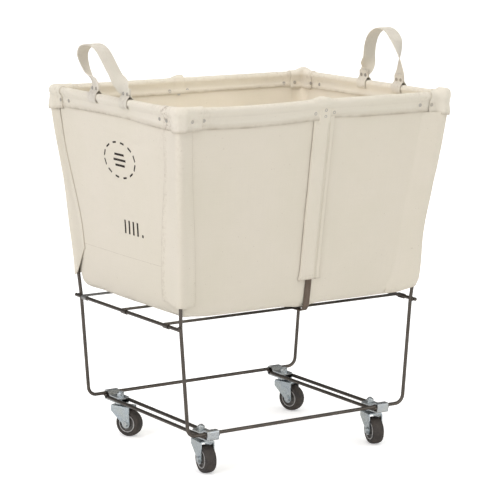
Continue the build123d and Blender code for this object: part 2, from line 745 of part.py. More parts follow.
def save_casters():
    """Four clip-on swivel casters, each at its own heading."""
    bolts = []
    nuts = []
    washers = []
    balls = []
    turning = {
        "fork": fork(), "axle_bolt": axle_bolt(), "axle_nut": axle_nut(),
        "axle_sleeve": axle_sleeve(), "wheel_core": wheel_core(), "tyre": tyre(),
    }
    for name, (sx, sy, heading) in CASTERS.items():
        save(caster_clip(sx, sy), f"caster_clip_{name}")
        spot = Pos(sx * CASTER_X, sy * CASTER_Y, 0)
        bolts.append(spot * king_bolt())
        nuts.append(spot * Rot(0, 0, heading) * king_nut())
        washers.append(spot * lock_washer())
        balls += [spot * ball for ball in race_balls()]
        for piece, shape in turning.items():
            save(spot * Rot(0, 0, heading) * shape, f"{piece}_{name}")
    save(Compound(bolts), "king_bolts")
    save(Compound(nuts), "king_nuts")
    save(Compound(washers), "lock_washers")
    save(Compound(balls), "race_balls")


save_frame()
save_basket()
save_handles()
save_casters()
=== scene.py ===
"""Linen trolley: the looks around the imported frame. Metres, +Z up, the CAD's own frame.

X runs along the basket (a handle on each X end), Y across it, and Z = 0 is the floor.
"""
import json
import math

import bpy
import numpy as np
from mathutils import Matrix, Vector, noise


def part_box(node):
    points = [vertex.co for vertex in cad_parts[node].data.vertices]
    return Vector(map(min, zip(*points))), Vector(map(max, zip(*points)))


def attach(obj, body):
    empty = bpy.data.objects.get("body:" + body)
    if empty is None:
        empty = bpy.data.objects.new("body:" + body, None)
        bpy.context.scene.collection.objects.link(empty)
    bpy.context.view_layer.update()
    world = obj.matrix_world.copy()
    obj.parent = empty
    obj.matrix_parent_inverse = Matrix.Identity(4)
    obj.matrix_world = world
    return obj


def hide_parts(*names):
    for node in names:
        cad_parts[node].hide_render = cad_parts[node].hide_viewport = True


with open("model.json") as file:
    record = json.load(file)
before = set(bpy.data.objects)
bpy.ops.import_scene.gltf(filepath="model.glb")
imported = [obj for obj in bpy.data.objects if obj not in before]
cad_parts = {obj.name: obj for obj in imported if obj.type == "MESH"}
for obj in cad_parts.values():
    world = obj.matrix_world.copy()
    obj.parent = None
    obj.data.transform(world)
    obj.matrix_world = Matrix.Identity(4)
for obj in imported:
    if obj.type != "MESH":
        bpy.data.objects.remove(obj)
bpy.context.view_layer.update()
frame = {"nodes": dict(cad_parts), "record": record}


# ---- sizes taken from the frame ----------------------------------------------
def box_of(node):
    """Low and high corner of a CAD node's box."""
    return tuple(Vector(corner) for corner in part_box(node))


RIM_LO, RIM_HI = box_of("rim_rod")
ROD_R = (RIM_HI.z - RIM_LO.z) / 2
RIM_X = RIM_HI.x - ROD_R
RIM_Y = RIM_HI.y - ROD_R
RIM_Z = RIM_HI.z - ROD_R
FLOOR_LO, FLOOR_HI = box_of("canvas_floor")
CANVAS_T = 0.002
LOW_X = FLOOR_HI.x - CANVAS_T / 2
LOW_Y = FLOOR_HI.y - CANVAS_T / 2
SLOPE_X = (RIM_X - LOW_X) / (RIM_Z - FLOOR_HI.z)
SLOPE_Y = (RIM_Y - LOW_Y) / (RIM_Z - FLOOR_HI.z)
FLOOR_Z = FLOOR_LO.z + CANVAS_T / 2

# ---- sizes of the frame that no box gives ------------------------------------
KNEE = Vector((0.2656, 0.190, 0.287))      # bend of a leg, +X +Y corner
LEG_TOP = Vector((0.295, 0.233, RIM_Z))
BAND_X = 0.004
BAND_SKEW = math.radians(4.3)
WEB_W = 0.029
WEB_T = 0.0018
CORNER_NAME = {(-1, -1): "left_near", (-1, 1): "left_far", (1, -1): "right_near", (1, 1): "right_far"}


def wall_x(z):
    """Half length of the basket at a height."""
    return RIM_X - SLOPE_X * (RIM_Z - z)


def wall_y(z):
    """Half width of the basket at a height."""
    return RIM_Y - SLOPE_Y * (RIM_Z - z)


def leg_at(z):
    """Centre of the upper leg of the +X +Y corner at a height."""
    return KNEE.lerp(LEG_TOP, (z - KNEE.z) / (LEG_TOP.z - KNEE.z))


def smooth(t):
    """Eased step from 0 to 1."""
    t = min(max(t, 0.0), 1.0)
    return t * t * (3 - 2 * t)


def bump_at(x, centre, width):
    """Soft hump of height 1 round a centre."""
    return math.exp(-((x - centre) / width) ** 2)


# ---- camera, light and floor -------------------------------------------------
MIDDLE = (0, 0, 0.4)
SOFT_BOXES = {              # place, target, size, power and colour
    "key": ((-3.2, -0.6, 2.2), MIDDLE, 1.6, 36, (0.975, 0.945, 1.0)),
    "fill": ((1.4, -3.6, 1.7), MIDDLE, 2.2, 18.5, (1.0, 0.98, 0.94)),
    "top": ((0.0, -0.10, 2.4), (0.0, 0.05, 0.5), 0.7, 9, (1.0, 0.950, 0.89)),
}
INNER_LAMP = ((0.02, -0.02, 0.56), 0.10, 0.85, (1.0, 0.93, 0.85))    # place, radius, power and colour
BRIGHT_SIDE = (-0.53, -0.80, 0.28)         # side of the room that metal reflects brightest
SEEN_LEVEL = 1.05                          # background level for the camera
GROUND_HALF = 14.0


def add_object(name, data):
    """Adds an object to the scene."""
    made = bpy.data.objects.new(name, data)
    bpy.context.scene.collection.objects.link(made)
    return made


def add_camera():
    """Long lens from the near left, a little above the rim."""
    place = Vector((-2.3233, -3.5678, 1.1525))
    target = Vector((0.00745, -0.00487, 0.38193))
    roll = math.radians(0.295)
    data = bpy.data.cameras.new("camera")
    data.sensor_width = 36
    data.lens = 157.64
    data.clip_end = 50
    camera = add_object("camera", data)
    aim = (target - place).to_track_quat("-Z", "Y").to_matrix().to_4x4()
    camera.matrix_world = Matrix.Translation(place) @ aim @ Matrix.Rotation(roll, 4, "Z")
    bpy.context.scene.camera = camera


def add_light(name, kind, place, power, colour):
    """Adds a lamp and returns its object."""
    data = bpy.data.lights.new(name, kind)
    data.energy = power
    data.color = colour
    light = add_object(name, data)
    light.location = place
    return light


def add_lights():
    """Soft boxes aimed at the trolley and a small lamp inside the basket."""
    for name, (place, target, size, power, colour) in SOFT_BOXES.items():
        light = add_light(name, "AREA", place, power, colour)
        light.data.shape = "SQUARE"
        light.data.size = size
        light.rotation_euler = (Vector(target) - Vector(place)).to_track_quat("-Z", "Y").to_euler()
    place, radius, power, colour = INNER_LAMP
    add_light("inner", "POINT", place, power, colour).data.shadow_soft_size = radius


def add_room():
    """White room that brightens upward, has one bright side for metal, and is plain white to the camera."""
    world = bpy.data.worlds.new("studio")
    world.use_nodes = True
    g = Nodes(world.node_tree)
    ray = g.node("LightPath").outputs
    place = g.node("TexCoord").outputs["Generated"]
    height = g.node("SeparateXYZ", {0: place}).outputs["Z"]
    soft = g.ramp(height, -0.05, 0.75, 0.65, 0.96)
    toward = g.node("VectorMath", {0: place, 1: BRIGHT_SIDE}, operation="DOT_PRODUCT").outputs["Value"]
    mirrored = g.ramp(toward, -0.35, 0.85, 0.22, 1.55)
    level = g.node("Mix", {0: ray["Is Glossy Ray"], 2: soft, 3: mirrored}).outputs[0]
    background = world.node_tree.nodes["Background"]
    background.inputs["Color"].default_value = rgba(1.0, 1.0, 1.0)
    g.feed(background.inputs["Strength"], g.ramp(ray["Is Camera Ray"], 0.0, 1.0, level, SEEN_LEVEL))
    bpy.context.scene.world = world
    bpy.context.scene.view_settings.view_transform = "Standard"


def add_ground():
    """Wide sheet of pale paper on the floor."""
    corners = [(x * GROUND_HALF, y * GROUND_HALF, 0) for x, y in ((-1, -1), (1, -1), (1, 1), (-1, 1))]
    mesh = new_mesh("studio_floor", corners, [(0, 1, 2, 3)], smooth_faces=False)
    mesh.materials.append(floor_paper())
    add_object("studio_floor", mesh)


# ---- node material helpers ---------------------------------------------------
class Nodes:
    """Short way to write a node tree."""

    def __init__(self, tree):
        self.tree = tree

    def node(self, kind, values=None, **settings):
        """Adds a node, sets its properties and fills or links its inputs."""
        made = self.tree.nodes.new("ShaderNode" + kind)
        for key, value in settings.items():
            setattr(made, key, value)
        for key, value in (values or {}).items():
            self.feed(made.inputs[key], value)
        return made

    def feed(self, socket, value):
        """Links a socket or sets a value."""
        if isinstance(value, bpy.types.NodeSocket):
            self.tree.links.new(value, socket)
        else:
            socket.default_value = value

    def maths(self, operation, a, b=0.0, c=0.0):
        """Math node."""
        return self.node("Math", {0: a, 1: b, 2: c}, operation=operation).outputs[0]

    def noise(self, vector, scale, detail=3.0, roughness=0.55):
        """Noise value from 0 to 1."""
        values = {"Vector": vector, "Scale": scale, "Detail": detail, "Roughness": roughness}
        return self.node("TexNoise", values).outputs["Fac"]

    def cells(self, vector, scale):
        """Distance to the nearest of scattered points."""
        return self.node("TexVoronoi", {"Vector": vector, "Scale": scale}).outputs["Distance"]

    def stretched(self, vector, scale):
        """Coordinates scaled along each axis."""
        return self.node("Mapping", {"Vector": vector, "Scale": scale}).outputs[0]

    def ramp(self, value, low, high, out_low=0.0, out_high=1.0):
        """Linear map with clamping."""
        values = {"Value": value, "From Min": low, "From Max": high, "To Min": out_low, "To Max": out_high}
        return self.node("MapRange", values).outputs["Result"]

    def blend(self, factor, a, b, mode="MIX"):
        """Colour mix."""
        made = self.node("Mix", {0: factor}, data_type="RGBA", blend_type=mode)
        self.feed(made.inputs[6], a)
        self.feed(made.inputs[7], b)
        return made.outputs[2]

    def bump(self, height, distance, strength=1.0, normal=None):
        """Bump of a real height in metres."""
        values = {"Height": height, "Distance": distance, "Strength": strength}
        if normal is not None:
            values["Normal"] = normal
        return self.node("Bump", values).outputs["Normal"]


class Surface(Nodes):
    """Node material with one shader; place is the point in metres."""

    def __init__(self, name):
        self.material = bpy.data.materials.new(name)
        self.material.use_nodes = True
        super().__init__(self.material.node_tree)
        self.shader = self.tree.nodes["Principled BSDF"]
        self.place = self.node("TexCoord").outputs["Object"]

    def finish(self, colour, roughness, normal=None, metallic=0.0, sheen=0.0, specular=0.5):
        """Feeds the shader and returns the material."""
        values = {"Base Color": colour, "Roughness": roughness, "Metallic": metallic,
                  "Sheen Weight": sheen, "Specular IOR Level": specular}
        if normal is not None:
            values["Normal"] = normal
        for key, value in values.items():
            self.feed(self.shader.inputs[key], value)
        return self.material


def rgba(red, green, blue):
    """Opaque colour."""
    return (red, green, blue, 1.0)


def shade(colour, factor):
    """Colour made lighter or darker."""
    return rgba(*(min(1.0, channel * factor) for channel in colour[:3]))


# ---- materials ---------------------------------------------------------------
FLECK_BROWN = rgba(0.36, 0.28, 0.19)
GRIME_BROWN = rgba(0.37, 0.29, 0.205)
# painted shade along seams, hems and cut edges, partly dirt caught there
SEAM_SHADE_BROWN = rgba(0.34, 0.27, 0.19)
RUST = rgba(0.16, 0.085, 0.045)
CLOUD_TINT = rgba(0.955, 0.965, 0.93)


def floor_paper():
    """Pale studio paper, a little brighter to the camera."""
    g = Surface("studio_paper")
    colour = g.blend(g.noise(g.place, 3.0, 2.0), rgba(0.95, 0.95, 0.945), rgba(0.97, 0.97, 0.965))
    g.shader.inputs["Emission Color"].default_value = rgba(1.0, 1.0, 1.0)
    seen = g.node("LightPath").outputs["Is Camera Ray"]
    g.feed(g.shader.inputs["Emission Strength"], g.ramp(seen, 0.0, 1.0, 0.0, 0.36))
    return g.finish(colour, 0.9, specular=0.1)


def woven_threads(g, uv, pitch, rib):
    """Height of a plain weave: each thread is round, and goes over and under."""
    split = g.node("SeparateXYZ", {0: uv}).outputs
    warp_at = g.maths("DIVIDE", split["X"], pitch)
    weft_at = g.maths("DIVIDE", split["Y"], pitch * rib)
    warp_round, weft_round = (
        g.maths("ABSOLUTE", g.maths("SINE", g.maths("MULTIPLY", at, math.pi))) for at in (warp_at, weft_at))
    cells = g.maths("ADD", g.maths("FLOOR", warp_at), g.maths("FLOOR", weft_at))
    over = g.maths("ABSOLUTE", g.maths("MODULO", cells, 2.0))
    warp_top = g.maths("MULTIPLY", warp_round, over)
    weft_top = g.maths("MULTIPLY", weft_round, g.maths("SUBTRACT", 1.0, over))
    return g.maths("ADD", warp_top, weft_top)


def cloth(name, base, pitch, thread_depth, grime=0.5, rib=1.0):
    """Plain woven cotton: threads over and under with painted shade in the hollows between them, slubs, seed
    flecks, grime, and dark lines along seams and edges that are painted shade, partly dirt.

    The cloth UV map is in metres. rib stretches the weft, as in webbing.
    """
    g = Surface(name)
    uv = g.node("UVMap", uv_map="cloth").outputs["UV"]
    weave = woven_threads(g, uv, pitch, rib)
    warp_slub, weft_slub = (
        g.noise(g.stretched(uv, scale), 0.7, 2.0) for scale in ((1 / pitch, 9.0, 1.0), (9.0, 1 / pitch, 1.0)))
    slub = g.maths("MULTIPLY", g.maths("ADD", warp_slub, weft_slub), 0.5)
    cloud = g.ramp(g.noise(g.place, 7.0, 3.0), 0.35, 0.65, 0.0, 0.6)
    fine = g.noise(g.place, 60.0, 4.0)
    tone = g.blend(g.ramp(slub, 0.30, 0.70), shade(base, 0.985), shade(base, 1.015))
    tone = g.blend(cloud, tone, CLOUD_TINT, "MULTIPLY")
    tone = g.blend(0.14, tone, g.blend(fine, shade(base, 0.90), shade(base, 1.08)))
    # painted shade: the hollows between the threads are darkened
    tone = g.blend(g.ramp(weave, 0.0, 0.45, 0.14, 0.0), tone, shade(base, 0.72))
    fleck = g.ramp(g.noise(g.place, 240.0, 1.0, 0.4), 0.775, 0.80)
    tone = g.blend(g.maths("MULTIPLY", fleck, 0.35), tone, FLECK_BROWN)
    worn = g.node("Attribute", attribute_name="grime").outputs["Fac"]
    patchy = g.maths("MULTIPLY", worn, g.ramp(g.noise(g.place, 120.0, 4.0, 0.65), 0.47, 0.64))
    tone = g.blend(g.maths("MULTIPLY", patchy, grime), tone, GRIME_BROWN)
    # Painted shade: the edge attribute darkens seams, hems and cut edges as if shaded, partly dirt caught
    # there.
    seam = g.node("Attribute", attribute_name="edge").outputs["Fac"]
    uneven = g.ramp(g.noise(g.place, 40.0, 2.0), 0.35, 0.65, 0.45, 1.0)
    tone = g.blend(g.maths("MULTIPLY", seam, uneven), tone, SEAM_SHADE_BROWN)
    normal = g.bump(g.maths("ADD", weave, g.maths("MULTIPLY", slub, 0.3)), thread_depth)
    normal = g.bump(fine, 0.0011, 0.5, normal)
    return g.finish(tone, g.ramp(weave, 0.0, 1.0, 0.95, 0.82), normal, sheen=0.15, specular=0.2)


def bare_steel(name, base, rough, streak=(1.0, 1.0, 1.0), rust=0.0):
    """Drawn or rolled steel with streaks, dull patches, fine scratches and a little rust."""
    g = Surface(name)
    streaks = g.noise(g.stretched(g.place, streak), 260.0, 3.0, 0.6)
    patch = g.noise(g.place, 24.0, 4.0, 0.6)
    grain = g.noise(g.place, 900.0, 2.0)
    tone = g.blend(streaks, shade(base, 0.72), shade(base, 1.22))
    tone = g.blend(g.ramp(patch, 0.40, 0.66, 0.0, 0.55), tone, shade(base, 0.62))
    rusty = g.ramp(g.noise(g.place, 110.0, 5.0, 0.7), 0.58, 0.72, 0.0, rust)
    tone = g.blend(rusty, tone, RUST)
    dull = g.ramp(patch, 0.3, 0.7, rough - 0.08, rough + 0.12)
    roughness = g.maths("ADD", dull, g.maths("MULTIPLY", rusty, 0.3))
    normal = g.bump(g.maths("ADD", streaks, g.maths("MULTIPLY", grain, 0.5)), 0.00006)
    return g.finish(tone, roughness, normal, metallic=0.92)


def zinc_plate(name, base, rough):
    """Bright zinc with a faint blue and yellow bloom, spangle and scuffs."""
    g = Surface(name)
    spangle = g.cells(g.place, 320.0)
    bloom = g.noise(g.place, 42.0, 3.0)
    scuff = g.ramp(g.noise(g.place, 210.0, 4.0, 0.7), 0.56, 0.70)
    blue = rgba(base[0] * 0.86, base[1] * 0.92, base[2] * 1.04)
    yellow = rgba(base[0] * 1.10, base[1] * 1.04, base[2] * 0.92)
    tone = g.blend(bloom, blue, yellow)
    tone = g.blend(g.maths("MULTIPLY", scuff, 0.45), tone, shade(base, 0.45))
    roughness = g.ramp(g.maths("ADD", spangle, scuff), 0.0, 1.4, rough, rough + 0.25)
    normal = g.bump(g.maths("ADD", spangle, g.maths("MULTIPLY", scuff, -0.6)), 0.00008)
    return g.finish(tone, roughness, normal, metallic=0.95)


def tyre_rubber(name):
    """Grey-brown rubber, dusty and lightly scuffed on the tread."""
    g = Surface(name)
    dust = g.ramp(g.noise(g.place, 46.0, 4.0, 0.6), 0.40, 0.66)
    grain = g.noise(g.place, 1500.0, 3.0)
    scuff = g.ramp(g.noise(g.place, 260.0, 5.0, 0.75), 0.54, 0.68)
    tone = g.blend(dust, rgba(0.026, 0.022, 0.020), rgba(0.056, 0.047, 0.040))
    tone = g.blend(g.maths("MULTIPLY", scuff, 0.35), tone, rgba(0.13, 0.115, 0.10))
    normal = g.bump(scuff, 0.00012, 0.6, g.bump(grain, 0.00005))
    return g.finish(tone, g.ramp(dust, 0.0, 1.0, 0.55, 0.78), normal, specular=0.35)


def wheel_plastic(name, base):
    """Moulded wheel centre with fine pebble grain and grease marks."""
    g = Surface(name)
    pebble = g.cells(g.place, 900.0)
    patch = g.noise(g.place, 90.0, 4.0, 0.6)
    tone = g.blend(g.ramp(patch, 0.38, 0.64), shade(base, 0.80), shade(base, 1.18))
    return g.finish(tone, g.ramp(patch, 0.3, 0.7, 0.38, 0.55), g.bump(pebble, 0.00006), specular=0.4)


def stencil_ink(name):
    """Thin black stencil paint that lets the weave show."""
    g = Surface(name)
    weave = g.noise(g.place, 700.0, 2.0)
    thin = g.ramp(g.noise(g.place, 160.0, 4.0, 0.7), 0.45, 0.72)
    tone = g.blend(g.maths("MULTIPLY", thin, 0.45), rgba(0.022, 0.017, 0.014), rgba(0.12, 0.098, 0.080))
    return g.finish(tone, g.ramp(weave, 0.3, 0.7, 0.7, 0.95), g.bump(weave, 0.0002), specular=0.2)


def cotton_thread(name):
    """Twisted cotton sewing thread."""
    g = Surface(name)
    twist = g.noise(g.place, 1700.0, 2.0)
    tone = g.blend(twist, rgba(0.60, 0.545, 0.45), rgba(0.80, 0.745, 0.64))
    rough = g.ramp(twist, 0.3, 0.7, 0.75, 0.92)
    return g.finish(tone, rough, g.bump(twist, 0.0002), sheen=0.15, specular=0.25)


MATERIAL_ROWS = [           # kind, name, then the values that its function names
    (bare_steel, "rod_steel", rgba(0.108, 0.094, 0.082), 0.34, (1.0, 1.0, 0.18), 0.25),
    (bare_steel, "slat_steel", rgba(0.112, 0.098, 0.086), 0.40, (0.12, 1.0, 1.0), 0.3),
    (bare_steel, "band_steel", rgba(0.150, 0.116, 0.092), 0.50, (1.0, 1.0, 0.15), 0.6),
    (bare_steel, "slat_zinc", rgba(0.34, 0.335, 0.33), 0.36, (0.12, 1.0, 1.0), 0.06),
    (zinc_plate, "zinc_clamp", rgba(0.44, 0.465, 0.475), 0.20),
    (zinc_plate, "zinc_fastener", rgba(0.46, 0.49, 0.50), 0.18),
    (zinc_plate, "fork_steel", rgba(0.45, 0.495, 0.515), 0.20),
    (zinc_plate, "rivet_metal", rgba(0.46, 0.43, 0.39), 0.30),
    (wheel_plastic, "wheel_plastic", rgba(0.155, 0.148, 0.140)),
    # painted highlight: the wheel plastic made bright for the shine on the wheel centre's lip
    (wheel_plastic, "wheel_rim", rgba(0.50, 0.49, 0.475)),
    (tyre_rubber, "tyre_rubber"),
    (cloth, "canvas", rgba(0.775, 0.715, 0.605), 0.0011, 0.00030, 0.35),
    (cloth, "sleeve_canvas", rgba(0.785, 0.725, 0.615), 0.0011, 0.00030, 0.55),
    (cloth, "binding_canvas", rgba(0.79, 0.735, 0.63), 0.0011, 0.00030, 0.8),
    (cloth, "webbing", rgba(0.785, 0.735, 0.64), 0.0016, 0.00055, 0.5, 0.7),
    (stencil_ink, "stencil_ink"),
    (cotton_thread, "cotton_thread"),
]
MATERIALS = {name: make(name, *values) for make, name, *values in MATERIAL_ROWS}


def dress_nodes():
    """Gives every CAD node the material of its slot; the centre band is rustier than the slats."""
    for part in frame["record"]["subparts"]:
        name = "band_steel" if part["node"] == "centre_band" else part["material_slot"]
        materials = frame["nodes"][part["node"]].data.materials
        materials.clear()
        materials.append(MATERIALS[name])


# ---- mesh helpers ------------------------------------------------------------
def new_mesh(name, verts, faces, smooth_faces=True):
    """Mesh from vertices and faces."""
    mesh = bpy.data.meshes.new(name)
    mesh.from_pydata([tuple(v) for v in verts], [], faces)
    mesh.polygons.foreach_set("use_smooth", [smooth_faces] * len(faces))
    return mesh


def link(name, mesh, slot_name, body="frame", material=None):
    """Adds a piece to the scene, riding on a body; its material is the slot's own unless named."""
    piece = add_object(name, mesh)
    mesh.materials.append(MATERIALS[material or slot_name])
    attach(piece, body)
    return piece


def quads(rows, columns, closed=False, first=0):
    """Faces of a grid of vertices that are numbered row by row from first."""
    faces = []
    for r in range(rows - 1):
        low = first + r * columns
        high = low + columns
        for c in range(columns if closed else columns - 1):
            d = (c + 1) % columns
            faces.append((low + c, low + d, high + d, high + c))
    return faces


def share_grid(rows, columns, rule):
    """Grid of rule(row share, column share), both from 0 to 1."""
    return np.array([[rule(r / rows, c / columns) for c in range(columns + 1)] for r in range(rows + 1)])


def run_lengths(points):
    """Running length along the second axis of a grid of points, as one value per column."""
    steps = np.linalg.norm(np.diff(points, axis=1), axis=2).mean(axis=0)
    return np.concatenate([[0.0], np.cumsum(steps)])


def cut_size(points):
    """Width and length of the flat cloth that a grid of points is made of."""
    return (float(run_lengths(points)[-1]), float(run_lengths(points.transpose(1, 0, 2))[-1]))


def grid_uvs(points, closed=False):
    """UVs in metres from the lengths along rows and columns; one column more where rows close."""
    wide = np.concatenate([points, points[:, :1]], axis=1) if closed else points
    across = run_lengths(wide)
    along = run_lengths(points.transpose(1, 0, 2))
    return np.stack(np.meshgrid(across, along), axis=2)


def sew(name, points, slot_name, thickness, closed=False, body="frame", soft_edge=0.35, **dirt_and_shade):
    """Cloth piece through points[row][column]. The keyword arguments hold grime and edge, one share per
    point; edge is painted shade along seams and edges, partly dirt.
    """
    mesh = new_mesh(name, points.reshape(-1, 3), quads(*points.shape[:2], closed))
    uvs = grid_uvs(points, closed)
    corners = np.stack([uvs[:-1, :-1], uvs[:-1, 1:], uvs[1:, 1:], uvs[1:, :-1]], axis=2)
    mesh.uv_layers.new(name="cloth").data.foreach_set("uv", corners.astype(np.float32).ravel())
    for key, shares in dirt_and_shade.items():
        attribute = mesh.attributes.new(key, "FLOAT", "POINT")
        attribute.data.foreach_set("value", np.asarray(shares, dtype=np.float32).ravel())
    piece = link(name, mesh, slot_name, body)
    thicken(piece, thickness, soft_edge)
    return piece


def thicken(piece, thickness, soft_edge):
    """Gives a sheet its thickness, with rounded edges, and applies it."""
    solid = piece.modifiers.new("thickness", "SOLIDIFY")
    solid.thickness = thickness
    solid.offset = 0.0
    solid.use_even_offset = False
    solid.use_quality_normals = True
    bevel = piece.modifiers.new("edge", "BEVEL")
    bevel.width = thickness * soft_edge
    bevel.segments = 2
    bevel.limit_method = "ANGLE"
    bevel.angle_limit = math.radians(60)
    bake_modifiers(piece)


def bake_modifiers(piece):
    """Replaces a piece's mesh by its evaluated one."""
    graph = bpy.context.evaluated_depsgraph_get()
    shaped = piece.evaluated_get(graph)
    made = bpy.data.meshes.new_from_object(shaped, preserve_all_data_layers=True, depsgraph=graph)
    piece.modifiers.clear()
    old = piece.data
    piece.data = made
    made.name = old.name
    bpy.data.meshes.remove(old)


def noise3(x, y, z, scale, seed=0.0):
    """Smooth noise from about -1 to 1."""
    return noise.noise(Vector((x * scale + seed, y * scale - 2 * seed, z * scale + 3.7 * seed)))


def spokes(across, up, count):
    """Unit vectors evenly round a circle."""
    turns = [2 * math.pi * i / count for i in range(count)]
    return [across * math.cos(turn) + up * math.sin(turn) for turn in turns]


# ---- basket ------------------------------------------------------------------
BASKET_TOP_Z = RIM_Z - 0.006
EDGE_IN = 0.0170           # floor edge, turned up over this much
LONG_STEPS = 84
SHORT_STEPS = 66
ARC_STEPS = 7
EDGE_ROWS = 7
WALL_ROWS = 62
CANVAS_SKIN = 0.0016
SEAM_Z = 0.3965            # seam across each end wall
SEAM_HALF = 0.0007
SEAM_SHADOW = 0.75           # painted shadow along that seam, as an edge share
BAND_ROOM = 0.0016         # how far the canvas can stand out behind the centre band


def corner_radius(z):
    """Radius of the canvas corner seen from above."""
    return 0.008 + 0.013 * smooth((z - 0.50) / 0.17)


def section_outline(half_x, half_y, radius):
    """Closed loop of one horizontal section, counter-clockwise from the near left."""
    flat_x = half_x - radius
    flat_y = half_y - radius
    outline = []
    sides = [
        ((-flat_x, -half_y), (flat_x, -half_y), LONG_STEPS, (flat_x, -flat_y), -90),
        ((half_x, -flat_y), (half_x, flat_y), SHORT_STEPS, (flat_x, flat_y), 0),
        ((flat_x, half_y), (-flat_x, half_y), LONG_STEPS, (-flat_x, flat_y), 90),
        ((-half_x, flat_y), (-half_x, -flat_y), SHORT_STEPS, (-flat_x, -flat_y), 180),
    ]
    for start, stop, steps, centre, angle in sides:
        for i in range(steps + 1):
            t = i / steps
            outline.append((start[0] + (stop[0] - start[0]) * t, start[1] + (stop[1] - start[1]) * t))
        for i in range(1, ARC_STEPS):
            turn = math.radians(angle + 90 * i / ARC_STEPS)
            outline.append((centre[0] + radius * math.cos(turn), centre[1] + radius * math.sin(turn)))
    return outline


def basket_slack(x, y, z):
    """How far the canvas stands out from its flat wall, in metres."""
    along_x = abs(x) / wall_x(z)
    along_y = abs(y) / wall_y(z)
    on_side = along_y > along_x
    free = 1 - min(along_x, along_y) ** 4
    height = (z - FLOOR_Z) / (BASKET_TOP_Z - FLOOR_Z)
    hold = smooth(height / 0.10) * (1 - smooth((height - 0.86) / 0.12))
    belly = 0.0042 * bump_at(height, 0.17, 0.17) * (0.35 + 0.65 * free)
    wave = 0.0022 * noise3(x, y, z * 0.55, 7.0, 3.1) + 0.0010 * noise3(x, y, z, 17.0, 8.2)
    at_band = 0.0
    if on_side:
        band = BAND_X + math.copysign(1, -y) * math.tan(BAND_SKEW) * abs(y)
        at_band = 1 - smooth((abs(x - band) - 0.010) / 0.035)
    fold = 0.0
    if x < 0 and not on_side:
        crease_z = 0.654 - 0.020 * smooth((0.15 - y) / 0.22)
        fold = 0.0020 * bump_at(z, crease_z, 0.008) * smooth((0.185 - abs(y)) / 0.06)
    corner = smooth((min(along_x, along_y) - 0.72) / 0.28)
    low = bump_at(z, 0.318, 0.042) * corner
    spread = (0.0078 if x < 0 < y else 0.0085 if y < 0 < x else 0.002) * low
    out = (belly + wave * free) * hold + 0.0012 * free * hold + spread + fold
    return out * (1 - at_band) + min(out, BAND_ROOM) * at_band


def basket_points():
    """Grid of points of the walls, row by row from the floor edge to the rim."""
    sections = []
    for i in range(EDGE_ROWS):
        turn = math.radians(90 * i / EDGE_ROWS)
        z = FLOOR_Z + EDGE_IN * (1 - math.cos(turn))
        drawn_in = EDGE_IN * (1 - math.sin(turn))
        sections.append((z, drawn_in, 0.003 + 0.005 * i / EDGE_ROWS))
    low_z = FLOOR_Z + EDGE_IN
    for i in range(WALL_ROWS + 1):
        z = low_z + (BASKET_TOP_Z - low_z) * i / WALL_ROWS
        sections.append((z, 0.0, corner_radius(z)))
    for z in (SEAM_Z - SEAM_HALF, SEAM_Z, SEAM_Z + SEAM_HALF):
        sections.append((z, 0.0, corner_radius(z)))
    sections.sort(key=lambda section: section[0])
    rows = []
    for z, drawn_in, radius in sections:
        half_x = wall_x(z) - drawn_in
        half_y = wall_y(z) - drawn_in
        row = []
        for x, y in section_outline(half_x, half_y, radius):
            lift = bottom_lift(x, y) * (1 - smooth((z - FLOOR_Z) / 0.10))
            out = basket_slack(x, y, z)
            pull = [at / half ** 2 * (abs(at) / half) ** 6 for at, half in ((x, half_x), (y, half_y))]
            away = Vector(pull)
            away.normalize()
            row.append((x + away.x * out, y + away.y * out, z + lift))
        rows.append(row)
    return np.array(rows)


def bottom_lift(x, y):
    """Where the basket's lower edge rides up off the slats."""
    end = 0.0025 * smooth((-x - 0.19) / 0.05)
    over_band = -0.0055 * bump_at(x, BAND_X - math.copysign(0.013, y), 0.028)
    far_left = 0.002 * bump_at(x, -LOW_X, 0.05) * bump_at(y, LOW_Y, 0.10)
    ripple = 0.0012 * noise3(x, y, 0.0, 11.0, 5.5)
    return 0.0072 + end + over_band + far_left + ripple


def floor_points(edge_row):
    """Grid of the floor inside the lowest wall row."""
    half_x = max(p[0] for p in edge_row)
    half_y = max(p[1] for p in edge_row)
    xs = np.linspace(-half_x, half_x, LONG_STEPS + 1)
    ys = np.linspace(-half_y, half_y, SHORT_STEPS + 1)
    slats = (-0.152, 0.004, 0.160)
    rows = []
    for y in ys:
        row = []
        for x in xs:
            inner = (1 - (x / half_x) ** 8) * (1 - (y / half_y) ** 8)
            gap = min(abs(y - slat) for slat in slats)
            over_band = bump_at(x, BAND_X + math.tan(BAND_SKEW) * -y, 0.030)
            loose = inner * (1 - over_band)
            sag = -0.0022 * smooth((gap - 0.010) / 0.045) * loose
            ripple = 0.0010 * noise3(x, y, 0.0, 9.0, 1.7) * smooth((gap - 0.008) / 0.04) * loose
            row.append((x, y, FLOOR_Z + bottom_lift(x, y) * (1 - inner) + sag + ripple))
        rows.append(row)
    return np.array(rows)


